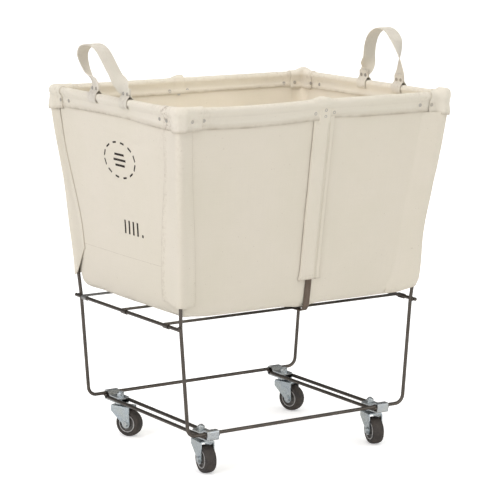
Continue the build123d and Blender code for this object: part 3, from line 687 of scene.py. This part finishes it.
def make_basket():
    """The basket's floor and four walls as one sewn canvas skin."""
    walls = basket_points()
    grime = np.array([[0.9 * bump_at(x, -RIM_X, 0.030) * bump_at(y, -RIM_Y, 0.06) * smooth((z - 0.36) / 0.25)
                       for x, y, z in row] for row in walls])
    edge = np.zeros(walls.shape[:2])
    # painted shadow along the seam row of the end walls, through the edge attribute
    seam_row = int(np.argmin(np.abs(walls[:, 0, 2] - SEAM_Z)))
    on_end = np.abs(walls[seam_row, :, 1]) < LOW_Y - 0.012
    edge[seam_row, on_end] = SEAM_SHADOW
    basket = sew("basket_canvas", walls, "canvas", CANVAS_SKIN, closed=True, grime=grime, edge=edge)
    base = floor_points(walls[0])
    base_piece = sew("basket_floor", base, "canvas", CANVAS_SKIN, grime=np.zeros(base.shape[:2]))
    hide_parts("canvas_end_left", "canvas_end_right", "canvas_side_near", "canvas_side_far")
    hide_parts("canvas_floor")


def end_face(end, y, z):
    """X of the canvas of an end wall."""
    return end * (wall_x(z) + basket_slack(end * wall_x(z), y, z))


def side_face(side, x, z):
    """Y of the canvas of a side wall."""
    return side * (wall_y(z) + basket_slack(x, side * wall_y(z), z))


# ---- sleeves -----------------------------------------------------------------
SLEEVE_OVER = 0.0017       # sleeve cloth above the canvas, middle to middle
SLEEVE_R = 0.0060          # sleeve cloth round the leg
SLEEVE_TOP_Z = 0.664
SLEEVE_SKIN = 0.0014
SLEEVE_ROWS = 56
SLEEVE_COLUMNS = 40
END_SEAM = 0.045           # places of the seams, as shares of a sleeve's width
SIDE_SEAM = 0.945
SLEEVES = {                # arms are at the rim and at the bottom; push stands off the leg near the rim; line is the painted shade along the end seam
    "left_near": {"end": (0.049, 0.069), "side": (0.026, 0.034), "low": 0.3285, "end_low": 0.330,
                  "side_low": 0.326, "push": 0.003, "push_from": 0.45, "line": 0.35},
    "left_far": {"end": (0.015, 0.039), "side": (0.034, 0.048), "low": 0.3290, "end_low": 0.385,
                 "side_low": 0.332, "push": 0.0070, "push_from": 0.50, "line": 0.22},
    "right_near": {"end": (0.020, 0.042), "side": (0.050, 0.060), "low": 0.3180, "end_low": 0.370,
                   "side_low": 0.304, "push": 0.0125, "push_from": 0.40, "line": 0.50,
                   "belly": 0.0045, "flush": True},
    "right_far": {"end": (0.046, 0.064), "side": (0.032, 0.044), "low": 0.3280, "end_low": 0.334,
                  "side_low": 0.340, "push": 0.004, "push_from": 0.50, "line": 0.50},
}


def sleeve_point(sx, sy, spec, t, s):
    """Point of a corner sleeve: t from its lower edge to the rim, s from the end seam to the side seam."""
    arm = 0.40
    if s < arm:
        low = spec["end_low"] + (spec["low"] - spec["end_low"]) * smooth(s / arm)
    else:
        low = spec["low"] + (spec["side_low"] - spec["low"]) * smooth((s - arm) / (1 - arm))
    z = low + (SLEEVE_TOP_Z - low) * t
    leg = leg_at(z)
    height = smooth((z - 0.42) / 0.19)
    end_arm = spec["end"][1] + (spec["end"][0] - spec["end"][1]) * height
    side_arm = spec["side"][1] + (spec["side"][0] - spec["side"][1]) * height
    flare = 0.0012 * bump_at(z, low, 0.014)
    push = spec["push"] * smooth((z - spec["push_from"]) / (0.66 - spec["push_from"]))
    tuck = 0.004 * bump_at(z, low, 0.008) if spec.get("flush") else 0.0
    radius = SLEEVE_R + flare + 0.6 * push + spec.get("belly", 0.0) * bump_at(z, 0.350, 0.045) - tuck
    cx = max(leg.x, wall_x(z) + 0.003 - radius) + 0.3 * push
    cy = max(leg.y, wall_y(z) + 0.003 - radius) + 0.3 * push
    ripple = 0.0007 * noise3(sx * 0.3 + s * 0.1, sy * 0.3, z, 26.0, 2.2)
    if s < arm:
        share = s / arm
        y = (leg.y - end_arm) + (cy - leg.y + end_arm) * share
        face = abs(end_face(sx, sy * y, z)) + SLEEVE_OVER
        x = face + (cx + radius - face) * smooth(share) ** 1.6 + ripple * share
    elif s > 1 - arm:
        share = (1 - s) / arm
        x = (leg.x - side_arm) + (cx - leg.x + side_arm) * share
        over = SLEEVE_OVER if not spec.get("flush") else -0.0012 + 0.0029 * smooth(share / 0.5)
        face = abs(side_face(sy, sx * x, z)) + over
        y = face + (cy + radius - face) * smooth(share) ** 1.6 + ripple * share
    else:
        turn = math.radians(90 * (s - arm) / (1 - 2 * arm))
        x = cx + (radius + ripple) * math.cos(turn)
        y = cy + (radius + ripple) * math.sin(turn)
    return (sx * x, sy * y, z)


def sleeve_grime(name, t, s):
    """Wear of a corner sleeve: the leg's ridge, the lower edge and, near left, the end seam."""
    worn = 0.22 * bump_at(s, 0.5, 0.16) * smooth(t) + 0.25 * bump_at(t, 0.0, 0.03)
    return worn + 0.5 * bump_at(s, 0.04, 0.05) if name == "left_near" else worn


def make_corner_sleeves():
    """Canvas pockets sewn over the four upper legs."""
    for (sx, sy), name in CORNER_NAME.items():
        spec = SLEEVES[name]
        flush = spec.get("flush")
        points = share_grid(SLEEVE_ROWS, SLEEVE_COLUMNS, lambda t, s: sleeve_point(sx, sy, spec, t, s))
        grime = share_grid(SLEEVE_ROWS, SLEEVE_COLUMNS, lambda t, s: sleeve_grime(name, t, s))
        # painted shade along the end seam, the side seam where there is one, and the lower edge, partly dirt
        edge = np.zeros(points.shape[:2])
        edge[:, 0] = spec["line"]
        edge[0, :] = 0.15
        if not flush:
            edge[:, -1] = 0.45
        sleeve = sew("sleeve_" + name, points, "sleeve_canvas", SLEEVE_SKIN, grime=grime, edge=edge)
        cut_size(points)
        if name == "left_near":
            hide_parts("corner_sleeves")
        seam_along(points, END_SEAM, "x", sx)
        if not flush:
            seam_along(points, SIDE_SEAM, "y", sy)


CENTRE_HALF = 0.0232
CENTRE_LOW_Z = 0.353
CENTRE_TOP_Z = RIM_Z - 0.0095
CENTRE_SKIN = 0.0011
CENTRE_ROWS = 90
CENTRE_COLUMNS = 48
CENTRE_SEAMS = (0.035, 0.83, 0.965)
STITCHED_ROWS = 78         # the rows on the wall, below the flap over the binding


def band_middle(side, z):
    """X of the middle of the centre band on one side wall."""
    return BAND_X - side * math.tan(BAND_SKEW) * wall_y(z)


def centre_profile(s):
    """Height of the centre sleeve above the canvas, s from -1 to 1 across it."""
    flat = 0.0016
    ridge = 0.0042 * (smooth((s + 1.02) / 0.16) - smooth((s - 0.22) / 0.30))
    hem = 0.0013 * smooth((s - 0.58) / 0.05)
    return flat + ridge + hem


def flap_share(z):
    """0 on the wall and 1 on the flap over the binding."""
    return smooth((z - (RIM_Z - 0.040)) / 0.006)


def centre_point(side, t, s):
    """Point of a centre sleeve: t from its lower edge to the rim, s from -1 to 1 across it."""
    low = CENTRE_LOW_Z + 0.0012 * noise3(s, side, 0, 3.0, 9.1)
    z = low + (CENTRE_TOP_Z - low) * t
    flare = 1 + 0.10 * bump_at(z, CENTRE_LOW_Z, 0.010)
    x = band_middle(side, z) - side * s * CENTRE_HALF * flare
    on_flap = flap_share(z)
    raised = 0.0026 + 0.0032 * (smooth((s + 0.62) / 0.22) - smooth((s - 0.40) / 0.22))
    over = centre_profile(s) * (1 - on_flap) + raised * on_flap
    over += 0.00025 * noise3(x, z, side, 22.0, 4.4) * (1 - on_flap)
    return (x, side_face(side, x, z) + side * over, z)


def make_centre_sleeves():
    """Canvas strips sewn over the centre band, up on to the binding: one edge folded, one stitched."""
    for name, side in (("near", -1), ("far", 1)):
        points = share_grid(CENTRE_ROWS, CENTRE_COLUMNS, lambda t, s: centre_point(side, t, 2 * s - 1))
        grime = np.zeros(points.shape[:2])
        grime[:3, :] = 0.4
        # painted shade along both long edges on the wall and along the lower edge, partly dirt; none on the
        # flap over the binding
        edge = np.zeros(points.shape[:2])
        on_wall = np.array([1 - flap_share(z) for z in points[:, 0, 2]])
        edge[:, 0] = on_wall
        edge[:, -1] = 0.6 * on_wall
        edge[0, :] = 0.6
        sleeve = sew("centre_sleeve_" + name, points, "sleeve_canvas", CENTRE_SKIN, grime=grime, edge=edge)
        if name == "near":
            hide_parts("centre_sleeves")
        for share in CENTRE_SEAMS:
            seam_along(points[:STITCHED_ROWS], share, "y", side)
        stitch_row(sleeve_threads, points[2, 1:-1], wall_out("y", side))


# ---- stitches ----------------------------------------------------------------
STITCH_PITCH = 0.0042
STITCH_LENGTH = 0.0031
STITCH_R = 0.00042
STITCH_LIFT = 0.0008       # from the cloth's middle to the thread's
sleeve_threads = []
binding_threads = []
wall_threads = []


def wall_out(axis, side):
    """Outward direction of a wall of the basket."""
    out = Vector((side, 0, -SLOPE_X)) if axis == "x" else Vector((0, side, -SLOPE_Y))
    return out.normalized()


def seam_along(points, share, axis, side):
    """Stitches along a sleeve at a share of its width, and the same seam on the inside of the wall."""
    column = share * (points.shape[1] - 1)
    left = int(column)
    mix = column - left
    line = points[:, left] * (1 - mix) + points[:, min(left + 1, points.shape[1] - 1)] * mix
    stitch_row(sleeve_threads, line, wall_out(axis, side))
    inner = []
    for x, y, z in points[:, int(round(column))]:
        if axis == "x":
            inner.append((end_face(side, y, z) - side * STITCH_LIFT, y, z))
        else:
            inner.append((x, side_face(side, x, z) - side * STITCH_LIFT, z))
    inward = Vector((-side, 0, 0)) if axis == "x" else Vector((0, -side, 0))
    stitch_row(wall_threads, inner, inward, 0.0002)


def stitch_row(store, line, out, lift=STITCH_LIFT):
    """Adds stitches along a line, lying on the cloth whose outward direction is given."""
    line = np.asarray(line)
    steps = np.linalg.norm(np.diff(line, axis=0), axis=1)
    reach = np.concatenate([[0.0], np.cumsum(steps)])
    for i in range(int(reach[-1] / STITCH_PITCH)):
        middle = (i + 0.5) * STITCH_PITCH
        start, stop = (
            Vector([np.interp(middle + d * STITCH_LENGTH / 2, reach, line[:, k]) for k in range(3)])
            for d in (-1, 1))
        store.append((start + out * lift, stop + out * lift, out))


def make_threads(name, store):
    """One mesh with every stitch of a list: small spindles with five sides."""
    sides = 5
    verts = []
    faces = []
    for start, stop, out in store:
        across = (stop - start).normalized().cross(out).normalized()
        round_thread = spokes(across, out, sides)
        first = len(verts)
        verts.append(start - out * STITCH_R * 1.2)
        for share in (0.22, 0.78):
            verts += [start.lerp(stop, share) + spoke * STITCH_R for spoke in round_thread]
        verts.append(stop - out * STITCH_R * 1.2)
        last = len(verts) - 1
        faces += quads(2, sides, closed=True, first=first + 1)
        for k in range(sides):
            n = (k + 1) % sides
            faces.append((first, first + 1 + n, first + 1 + k))
            faces.append((last, first + 1 + sides + k, first + 1 + sides + n))
    link(name, new_mesh(name, verts, faces), "sleeve_canvas", material="cotton_thread")


# ---- binding and corner patches ----------------------------------------------
ROLL_R = 0.0069
FLAP_OVER = 0.0017         # flap cloth from the middle of the canvas
BINDING_SKIN = 0.0013
HEM = 0.0009               # how far the turned-in edge of the binding stands out
LEAN_X = math.atan(SLOPE_X)
LEAN_Y = math.atan(SLOPE_Y)
LONG_END = RIM_X - 0.026
SHORT_END = RIM_Y - 0.026


def roll_profile(over, roll, depth_in, depth_out):
    """Cross-section of the rolled binding: (outward, up) from its lower inner to its lower outer edge."""
    neck = [(-0.015, 0.0), (-0.0122, 0.0002), (-0.0098, 0.0012)]
    inner = [(-depth_in, HEM), (-depth_in + 0.006, HEM), (-depth_in + 0.0075, 0.0)] + neck
    outer = neck[::-1] + [(-depth_out + 0.0115, 0.0), (-depth_out + 0.0085, 0.0), (-depth_out + 0.007, HEM),
                          (-depth_out, HEM)]
    turns = [math.radians(222 - 264 * i / 16) for i in range(17)]
    return ([(-over - bulge, u) for u, bulge in inner]
            + [(roll * math.cos(turn), roll * math.sin(turn)) for turn in turns]
            + [(over + bulge, u) for u, bulge in outer])


def rim_dip(axis, side, a):
    """How far the rim sags along one side of the basket."""
    return -0.0030 * bump_at(a, -0.14, 0.10) if axis == "y" and side < 0 else 0.0


def rim_place(axis, side, a, o, u):
    """Point beside the rim rod: a along the side, o outward and u up the wall."""
    lean, half = (LEAN_Y, RIM_Y) if axis == "y" else (LEAN_X, RIM_X)
    across = side * (half + o * math.cos(lean) + u * math.sin(lean))
    z = RIM_Z + u * math.cos(lean) - o * math.sin(lean)
    return (a, across, z) if axis == "y" else (across, a, z)


# depth is the outer flap's; a length with over lies on the next one, and knot is its lump over the band
BINDINGS = [
    {"name": "near_left", "axis": "y", "side": -1, "start": -LONG_END, "stop": 0.033, "over": 0.0012,
     "depth": lambda a: 0.0335 - 0.0010 * bump_at(a, 0, 0.05), "knot": 0.011, "seed": 1.3,
     "stands_for": "binding_near"},
    {"name": "near_right", "axis": "y", "side": -1, "start": 0.014, "stop": LONG_END,
     "depth": lambda a: 0.0285 + 0.0030 * smooth((a - 0.03) / 0.10), "seed": 2.1},
    {"name": "far_left", "axis": "y", "side": 1, "start": -LONG_END, "stop": -0.003, "over": 0.0012,
     "depth": lambda a: 0.031, "knot": -0.009, "seed": 3.7, "depth_in": 0.0255, "stands_for": "binding_far"},
    {"name": "far_right", "axis": "y", "side": 1, "start": -0.024, "stop": LONG_END,
     "depth": lambda a: 0.030, "seed": 4.9, "depth_in": 0.0245},
    {"name": "end_left", "axis": "x", "side": -1, "start": -SHORT_END, "stop": SHORT_END, "seed": 5.3,
     "depth": lambda a: 0.0295 + 0.0055 * smooth((-a - 0.03) / 0.14) + 0.002 * smooth((a - 0.06) / 0.12),
     "stands_for": "binding_left"},
    {"name": "end_right", "axis": "x", "side": 1, "start": -SHORT_END, "stop": SHORT_END, "seed": 6.1,
     "depth": lambda a: 0.030, "depth_in": 0.0265, "stands_for": "binding_right"},
]


def binding_points(axis, side, start, stop, depth, seed, over, knot, depth_in):
    """Grid of one length of binding: a row per place along the rim, a column per point of the roll."""
    count = int(abs(stop - start) / 0.0035)
    grid = []
    for i in range(count + 1):
        a = start + (stop - start) * i / count
        lump = bump_at(a, knot, 0.016) if knot is not None else 0.0
        wave = 0.0009 * noise3(a, side, seed, 16.0, seed)
        proud = 0.0001 + over * smooth((a - stop + 0.027) / 0.008) if over else 0.0
        line = []
        for o, u in roll_profile(FLAP_OVER + proud, ROLL_R + proud, depth_in + wave, depth(a) + wave):
            lumpy = 0.0004 * noise3(a, o * 4, u, 60.0, seed + 1) + 0.0005 * noise3(a, o, u, 20.0, seed + 2)
            outward = o + math.copysign(1, o) * (lumpy + 0.0010 * lump)
            raised = 0.0042 * lump * smooth((u + 0.002) / 0.006) + 0.0006 * lump
            line.append(rim_place(axis, side, a, outward, u + rim_dip(axis, side, a) + raised))
        grid.append(line)
    return np.array(grid)


def make_binding():
    """Binding of the four sides; the two long sides are each made of two lengths that overlap."""
    for spec in BINDINGS:
        axis, side, start, stop = (spec[key] for key in ("axis", "side", "start", "stop"))
        points = binding_points(axis, side, start, stop, spec["depth"], spec["seed"], spec.get("over", 0.0),
                                spec.get("knot"), spec.get("depth_in", 0.026))
        stain = np.zeros(points.shape[:2])
        for i, (x, y, _) in enumerate(points.mean(axis=1)):
            stain[i, :] = 0.30 * bump_at(abs(x), RIM_X, 0.07) * bump_at(abs(y), RIM_Y, 0.07)
        stain[:, 8:18] += 0.15
        # painted shade: a dark line along both lower edges, partly dirt, and a faint one in the crease under
        # the roll
        edge = np.zeros(points.shape[:2])
        edge[:, [0, -1]] = 0.8
        edge[:, 23] = 0.10
        name = "binding_" + spec["name"]
        piece = sew(name, points, "binding_canvas", BINDING_SKIN, grime=stain, edge=edge)
        width = cut_size(points)[0]
        if "stands_for" in spec:
            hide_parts(spec["stands_for"])
        out = Vector((0, side, 0)) if axis == "y" else Vector((side, 0, 0))
        stitch_row(binding_threads, points[:, -2], out)
        stitch_row(binding_threads, points[:, 1], -out)


PATCH_STEPS = 56
PATCHES = {                # arm along the rim; stand and flare off the corner, knuckle up and stain
    "left_near": {"arm": 0.050, "stand": 0.0015, "flare": 0.004, "knuckle": 0.0008, "stain": 1.0},
    "left_far": {"arm": 0.040, "stand": 0.0030, "flare": 0.008, "knuckle": 0.0012, "stain": 0.35},
    "right_near": {"arm": 0.032, "stand": 0.0115, "flare": 0.0055, "knuckle": 0.0060, "stain": 0.35},
    "right_far": {"arm": 0.038, "stand": 0.002, "flare": 0.005, "knuckle": 0.0062, "stain": 0.35},
}


def patch_path(arm, i, count):
    """Course of a corner patch in the +X +Y corner: place, outward direction and share from 0 to 1."""
    bend = 0.012
    straight = arm - bend
    total = 2 * straight + bend * math.pi / 2
    reach = total * i / count
    if reach < straight:
        return (RIM_X - arm + reach, RIM_Y), math.radians(90.0), reach / total
    if reach > total - straight:
        return (RIM_X, RIM_Y - arm + total - reach), 0.0, reach / total
    angle = math.radians(90 - 90 * (reach - straight) / (bend * math.pi / 2))
    place = (RIM_X - bend + bend * math.cos(angle), RIM_Y - bend + bend * math.sin(angle))
    return place, angle, reach / total


def patch_points(sx, sy, spec, seed):
    """Grid of one corner patch: a row per place round the corner, a column per point of the roll."""
    lean = (LEAN_X + LEAN_Y) / 2
    grid = []
    for i in range(PATCH_STEPS + 1):
        (x, y), angle, share = patch_path(spec["arm"], i, PATCH_STEPS)
        corner = bump_at(share, 0.5, 0.17)
        pucker = 0.0011 * corner * math.sin(share * 60 + seed)
        edge_wave = 0.0016 * noise3(share, seed, 0.0, 5.0, seed)
        over = FLAP_OVER + 0.0020 + 0.0014 * corner
        depth_out = 0.0345 + 0.0015 * corner + edge_wave
        line = []
        for o, u in roll_profile(over, ROLL_R + 0.0016, 0.029 + edge_wave, depth_out):
            lump = 0.0007 * noise3(share * 3, o * 30, u * 20, 3.0, seed)
            away = (spec["stand"] + spec["flare"] * smooth((0.004 - u) / 0.034)) * corner if o > 0 else 0.0
            reach = o + math.copysign(lump, o) + (pucker if o > 0 else 0.3 * pucker) + away
            knuckle = spec["knuckle"] * corner * smooth((u + 0.004) / 0.010)
            outward = reach * math.cos(lean) + u * math.sin(lean)
            z = RIM_Z + u * math.cos(lean) - reach * math.sin(lean) + knuckle
            line.append((sx * (x + outward * math.cos(angle)), sy * (y + outward * math.sin(angle)), z))
        grid.append(line)
    return np.array(grid)


def make_corner_patches():
    """Canvas patches folded over the rim's corners, puckered where they turn."""
    for (sx, sy), corner_name in CORNER_NAME.items():
        spec = PATCHES[corner_name]
        points = patch_points(sx, sy, spec, 11.0 + 3 * sx + 5 * sy)
        stain = np.zeros(points.shape[:2])
        for i in range(PATCH_STEPS + 1):
            stain[i, :] = spec["stain"] * (0.12 + 0.88 * bump_at(i / PATCH_STEPS, 0.86, 0.13))
        # painted shade along the cut ends and the lower edges, partly dirt
        edge = np.zeros(points.shape[:2])
        edge[[0, -1], :] = 0.25
        edge[:, [0, -1]] = 0.6
        name = "corner_patch_" + corner_name
        patch = sew(name, points, "binding_canvas", BINDING_SKIN, grime=stain, edge=edge)
        cut_size(points)
        if corner_name == "left_near":
            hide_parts("corner_patches")
        for row, out in ((1, Vector((0, sy, 0))), (-2, Vector((sx, 0, 0)))):
            stitch_row(binding_threads, points[row, 24:], out)


# ---- handles -----------------------------------------------------------------
HANDLE_FOOT = 0.059        # feet from the middle of a handle, along the rim
HANDLE_STEPS = 110
RING_STEPS = 60
HANDLES = {                # turns are (share of the arch, degrees); line is (along, up) in millimetres
    "left": {
        "end": -1, "mid": 0.0085, "lean": 0.24,
        "near_turn": ((0.075, 0.21), (0, 90)), "far_turn": ((0.08, 0.16, 0.28, 0.42), (0, 50, 64, 90)),
        "line": [(-59, 13), (-57, 22), (-48, 32), (-31, 47), (-17, 65), (-6, 82), (7, 96), (27, 103),
                 (52, 101), (73, 93), (86, 80), (87, 64), (81, 48), (70, 34), (60, 24), (59, 13)],
    },
    "right": {
        "end": 1, "mid": -0.0395, "lean": 0.10,
        "near_turn": ((0.09, 0.14, 0.21, 0.27, 0.36), (0, 14, 33, 55, 90)),
        "far_turn": ((0.085, 0.21), (0, 90)),
        "line": [(-59, 13), (-58, 24), (-57, 38), (-53, 56), (-47, 76), (-36, 95), (-19, 109), (3, 115),
                 (24, 111), (41, 97), (48, 76), (48, 56), (51, 36), (58, 24), (59, 13)],
    },
}
RING_COURSE = [            # webbing round the rim roll, (outward, up) from the front layer to the back one
    (0.0011, 0.014), (0.0046, 0.0104), (0.0076, 0.0056), (0.0088, 0.0), (0.0082, -0.0056),
    (0.0058, -0.0092), (0.0, -0.0106), (-0.0058, -0.0092), (-0.0082, -0.0056), (-0.0088, 0.0),
    (-0.0076, 0.0056), (-0.0046, 0.0104), (-0.0011, 0.0150), (-0.0011, 0.021), (-0.0014, 0.0275),
]


def curve_through(points, count):
    """Catmull-Rom curve through points, evenly spread over its own parameter."""
    pts = [Vector(p) for p in points]
    pts = [2 * pts[0] - pts[1]] + pts + [2 * pts[-1] - pts[-2]]
    result = []
    spans = len(pts) - 3
    for i in range(count + 1):
        t = min(i / count * spans, spans - 1e-6)
        k = int(t)
        f = t - k
        p0, p1, p2, p3 = pts[k:k + 4]
        square = (2 * p0 - 5 * p1 + 4 * p2 - p3) * f * f
        cube = (3 * p1 - p0 - 3 * p2 + p3) * f ** 3
        result.append(0.5 * (2 * p1 + (p2 - p0) * f + square + cube))
    return result


def heading(course, i):
    """Direction of a course at one of its points."""
    return course[min(i + 1, len(course) - 1)] - course[max(i - 1, 0)]


def handle_place(spec, o, y, u):
    """Point of a handle: o outward, y along the rim and u up, before it leans."""
    rise = max(0.0, u - 0.020)
    lean = spec["lean"] * rise * rise / (rise + 0.020)
    return (spec["end"] * (RIM_X + o + lean), spec["mid"] + y, RIM_Z + u)


def web_strip(spec, centres, widths, crown=0.0004):
    """Strip of webbing from centre points and width directions, both as (o, y, u)."""
    columns = 8
    grid = []
    for i, (centre, wide) in enumerate(zip(centres, widths)):
        normal = heading(centres, i).cross(wide).normalized()
        line = []
        for c in range(columns + 1):
            s = c / columns - 0.5
            ripple = 0.0003 * noise3(i * 0.11, s, spec["mid"] * 50, 3.0, 6.0)
            p = centre + wide * (s * WEB_W) + normal * (crown * (1 - 4 * s * s) + ripple)
            line.append(handle_place(spec, p.x, p.y, p.z))
        grid.append(line)
    return np.array(grid)


def arch_strip(spec):
    """The arch of a handle: flat on the rim at both feet and turned crosswise over the top."""
    stations = curve_through([(0.0011, y / 1000, h / 1000) for y, h in spec["line"]], HANDLE_STEPS)
    across = Vector((1, 0, 0))
    widths = []
    for i in range(HANDLE_STEPS + 1):
        share = i / HANDLE_STEPS
        foot, turns = (share, spec["near_turn"]) if share < 0.5 else (1 - share, spec["far_turn"])
        turn = math.radians(np.interp(foot, *turns))
        flat = across.cross(heading(stations, i).normalized()).normalized()
        widths.append((flat * math.cos(turn) - across * math.sin(turn)).normalized())
    return web_strip(spec, stations, widths)


def ring_strip(spec, side):
    """The webbing's ring round the rim at one foot of a handle."""
    course = [Vector((o, side * HANDLE_FOOT, u)) for o, _, u in
              curve_through([(o, 0, u) for o, u in RING_COURSE], RING_STEPS)]
    return web_strip(spec, course, [Vector((0, 1, 0))] * len(course), 0.0)


def make_handles():
    """Webbing handles: an arch that turns crosswise at the top, and a ring round the rim at each foot."""
    for name, spec in HANDLES.items():
        strips = [arch_strip(spec), ring_strip(spec, -1), ring_strip(spec, 1)]
        for k, points in enumerate(strips):
            rows = points.shape[0]
            stain = np.full(points.shape[:2], 0.45)
            for i in range(rows if k == 0 else 0):
                stain[i, :] = 0.35 * bump_at(min(i, rows - 1 - i) / (rows - 1), 0.5, 0.2)
            piece = sew(f"handle_strap_{name}_{k}", points, "webbing", WEB_T, body="handle_loop_" + name,
                        soft_edge=0.45, grime=stain)
            length = cut_size(points)[1]
            if k == 0:
                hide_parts("handle_" + name)


# ---- stencil -----------------------------------------------------------------
PAINT_OVER = 0.0011        # paint above the middle of the canvas
DASHES = 12
DASH = (0.013, 0.0034)
RING_AT = (-0.009, 0.583)  # middle of the ring of dashes, (y, z)
RING_WIDE = 0.058          # half axes of the ring
RING_HIGH = 0.034
BAR = (0.046, 0.0042)
BAR_PITCH = 0.0105
BAR_STEP = 0.010           # how much shorter the outer two bars are
TALLY = (0.026, 0.0052)
TALLY_AT = (-0.008, 0.455)
TALLY_PITCH = 0.0155
DOT_AT = (-0.072, 0.4445)


def stencil_bar(store, y, z, length, width, turn):
    """Adds one painted bar on the left end wall, as (corners, faces)."""
    steps = 6
    angle = math.radians(turn)
    along = Vector((math.cos(angle), math.sin(angle)))
    across = Vector((-math.sin(angle), math.cos(angle)))
    verts, faces = store
    faces += quads(steps + 1, 3, first=len(verts))
    for i in range(steps + 1):
        for j in range(3):
            p = along * ((i / steps - 0.5) * length) + across * ((j / 2 - 0.5) * width)
            verts.append((end_face(-1, y + p.x, z + p.y) - PAINT_OVER, y + p.x, z + p.y))


def make_stencil():
    """Generic stencil marks: a ring of dashes round three bars, and a row of tally bars below."""
    store = ([], [])
    mid_y, mid_z = RING_AT
    for i in range(DASHES):
        angle = math.radians(360 * i / DASHES + 15)
        along = RING_WIDE * math.cos(angle)
        up = RING_HIGH * math.sin(angle)
        slant = math.degrees(math.atan2(RING_HIGH * math.cos(angle), -RING_WIDE * math.sin(angle)))
        stencil_bar(store, mid_y + along, mid_z + up, *DASH, slant)
    for row in (-1, 0, 1):
        stencil_bar(store, mid_y, mid_z + BAR_PITCH * row, BAR[0] - BAR_STEP * abs(row), BAR[1], 0)
    for i in range(4):
        stencil_bar(store, TALLY_AT[0] - TALLY_PITCH * i, TALLY_AT[1], *TALLY, 90)
    stencil_bar(store, *DOT_AT, TALLY[1], TALLY[1], 0)
    mesh = new_mesh("stencil_marks", *store, smooth_faces=False)
    marks = link("stencil_marks", mesh, "canvas", material="stencil_ink")
    marks.modifiers.new("thickness", "SOLIDIFY").thickness = 0.00025
    bake_modifiers(marks)


# ---- wheel rims --------------------------------------------------------------
RIM_FACE = 0.0104          # face of a wheel centre from its middle
RIM_STEPS = 48
RIM_SECTION = [            # (radius, height above the face)
    (0.0163, 0.0), (0.0163, 0.0006), (0.0166, 0.0009), (0.0175, 0.0009), (0.0178, 0.0006), (0.0178, 0.0)]


def make_wheel_rims():
    """Moulded ring raised round both faces of each wheel centre, painted light grey as a highlight on its
    lip.
    """
    count = len(RIM_SECTION)
    for joint in frame["record"]["behaviour"]["joints"]:
        if not joint["name"].startswith("wheel_spin_"):
            continue
        centre = Vector(joint["pos_m"])
        axis = Vector(joint["axis"]).normalized()
        across = axis.cross(Vector((0, 0, 1))).normalized()
        verts = []
        faces = []
        for side in (-1, 1):
            first = len(verts)
            for spoke in spokes(across, across.cross(axis), RIM_STEPS):
                verts += [centre + spoke * r + axis * (side * (RIM_FACE + h)) for r, h in RIM_SECTION]
            for i in range(RIM_STEPS):
                low = first + i * count
                high = first + (i + 1) % RIM_STEPS * count
                for k in range(count):
                    m = (k + 1) % count
                    quad = (low + k, high + k, high + m, low + m)
                    faces.append(quad if side > 0 else quad[::-1])
        name = joint["name"].replace("wheel_spin", "wheel_rim")
        link(name, new_mesh(name, verts, faces), "wheel_plastic", joint["child"], "wheel_rim")


# ---- welds -------------------------------------------------------------------
LOOP_BEAD = (0.0052, Vector((1.0, 1.0, 0.62)))      # radius and shares along X, Y and Z
LEG_BEAD = (0.0048, Vector((0.62, 1.0, 1.0)))


def weld_spots():
    """Place, radius and shares of each bead: rails on the base loops, and legs on the platform's end rods."""
    loop_lo, loop_hi = box_of("base_loop_right")
    rod_lo, rod_hi = box_of("platform_end_rod_right")
    loop_z = (loop_lo.z + loop_hi.z) / 2 + ROD_R
    rod_z = (rod_lo.z + rod_hi.z) / 2
    rod_x = (rod_lo.x + rod_hi.x) / 2 - ROD_R
    spots = []
    for sx, sy in CORNER_NAME:
        for x, z, bead in ((loop_lo.x + ROD_R, loop_z, LOOP_BEAD), (loop_hi.x - ROD_R, loop_z, LOOP_BEAD),
                           (rod_x, rod_z, LEG_BEAD)):
            spots.append((Vector((sx * x, sy * KNEE.y, z)), *bead))
    return spots


def make_welds():
    """Lumpy weld beads where rods cross."""
    verts = []
    faces = []
    around, rings = 14, 8
    for k, (place, size, shares) in enumerate(weld_spots()):
        first = len(verts)
        for i in range(1, rings):
            polar = math.pi * i / rings
            for spoke in spokes(Vector((1, 0, 0)), Vector((0, 1, 0)), around):
                direction = spoke * math.sin(polar) + Vector((0, 0, math.cos(polar)))
                lump = 1 + 0.22 * noise3(*(direction * 0.5), 3.4, k * 2.3)
                verts.append(place + direction * shares * size * lump)
        faces += quads(rings - 1, around, closed=True, first=first)
        faces.append(tuple(first + j for j in reversed(range(around))))
        faces.append(tuple(first + (rings - 2) * around + j for j in range(around)))
    link("weld_beads", new_mesh("weld_beads", verts, faces), "rod_steel")


add_camera()
add_room()
add_lights()
add_ground()
dress_nodes()
make_basket()
make_corner_sleeves()
make_centre_sleeves()
make_binding()
make_corner_patches()
make_handles()
make_stencil()
make_wheel_rims()
make_welds()
make_threads("sleeve_stitches", sleeve_threads)
make_threads("binding_stitches", binding_threads)
make_threads("wall_stitches", wall_threads)
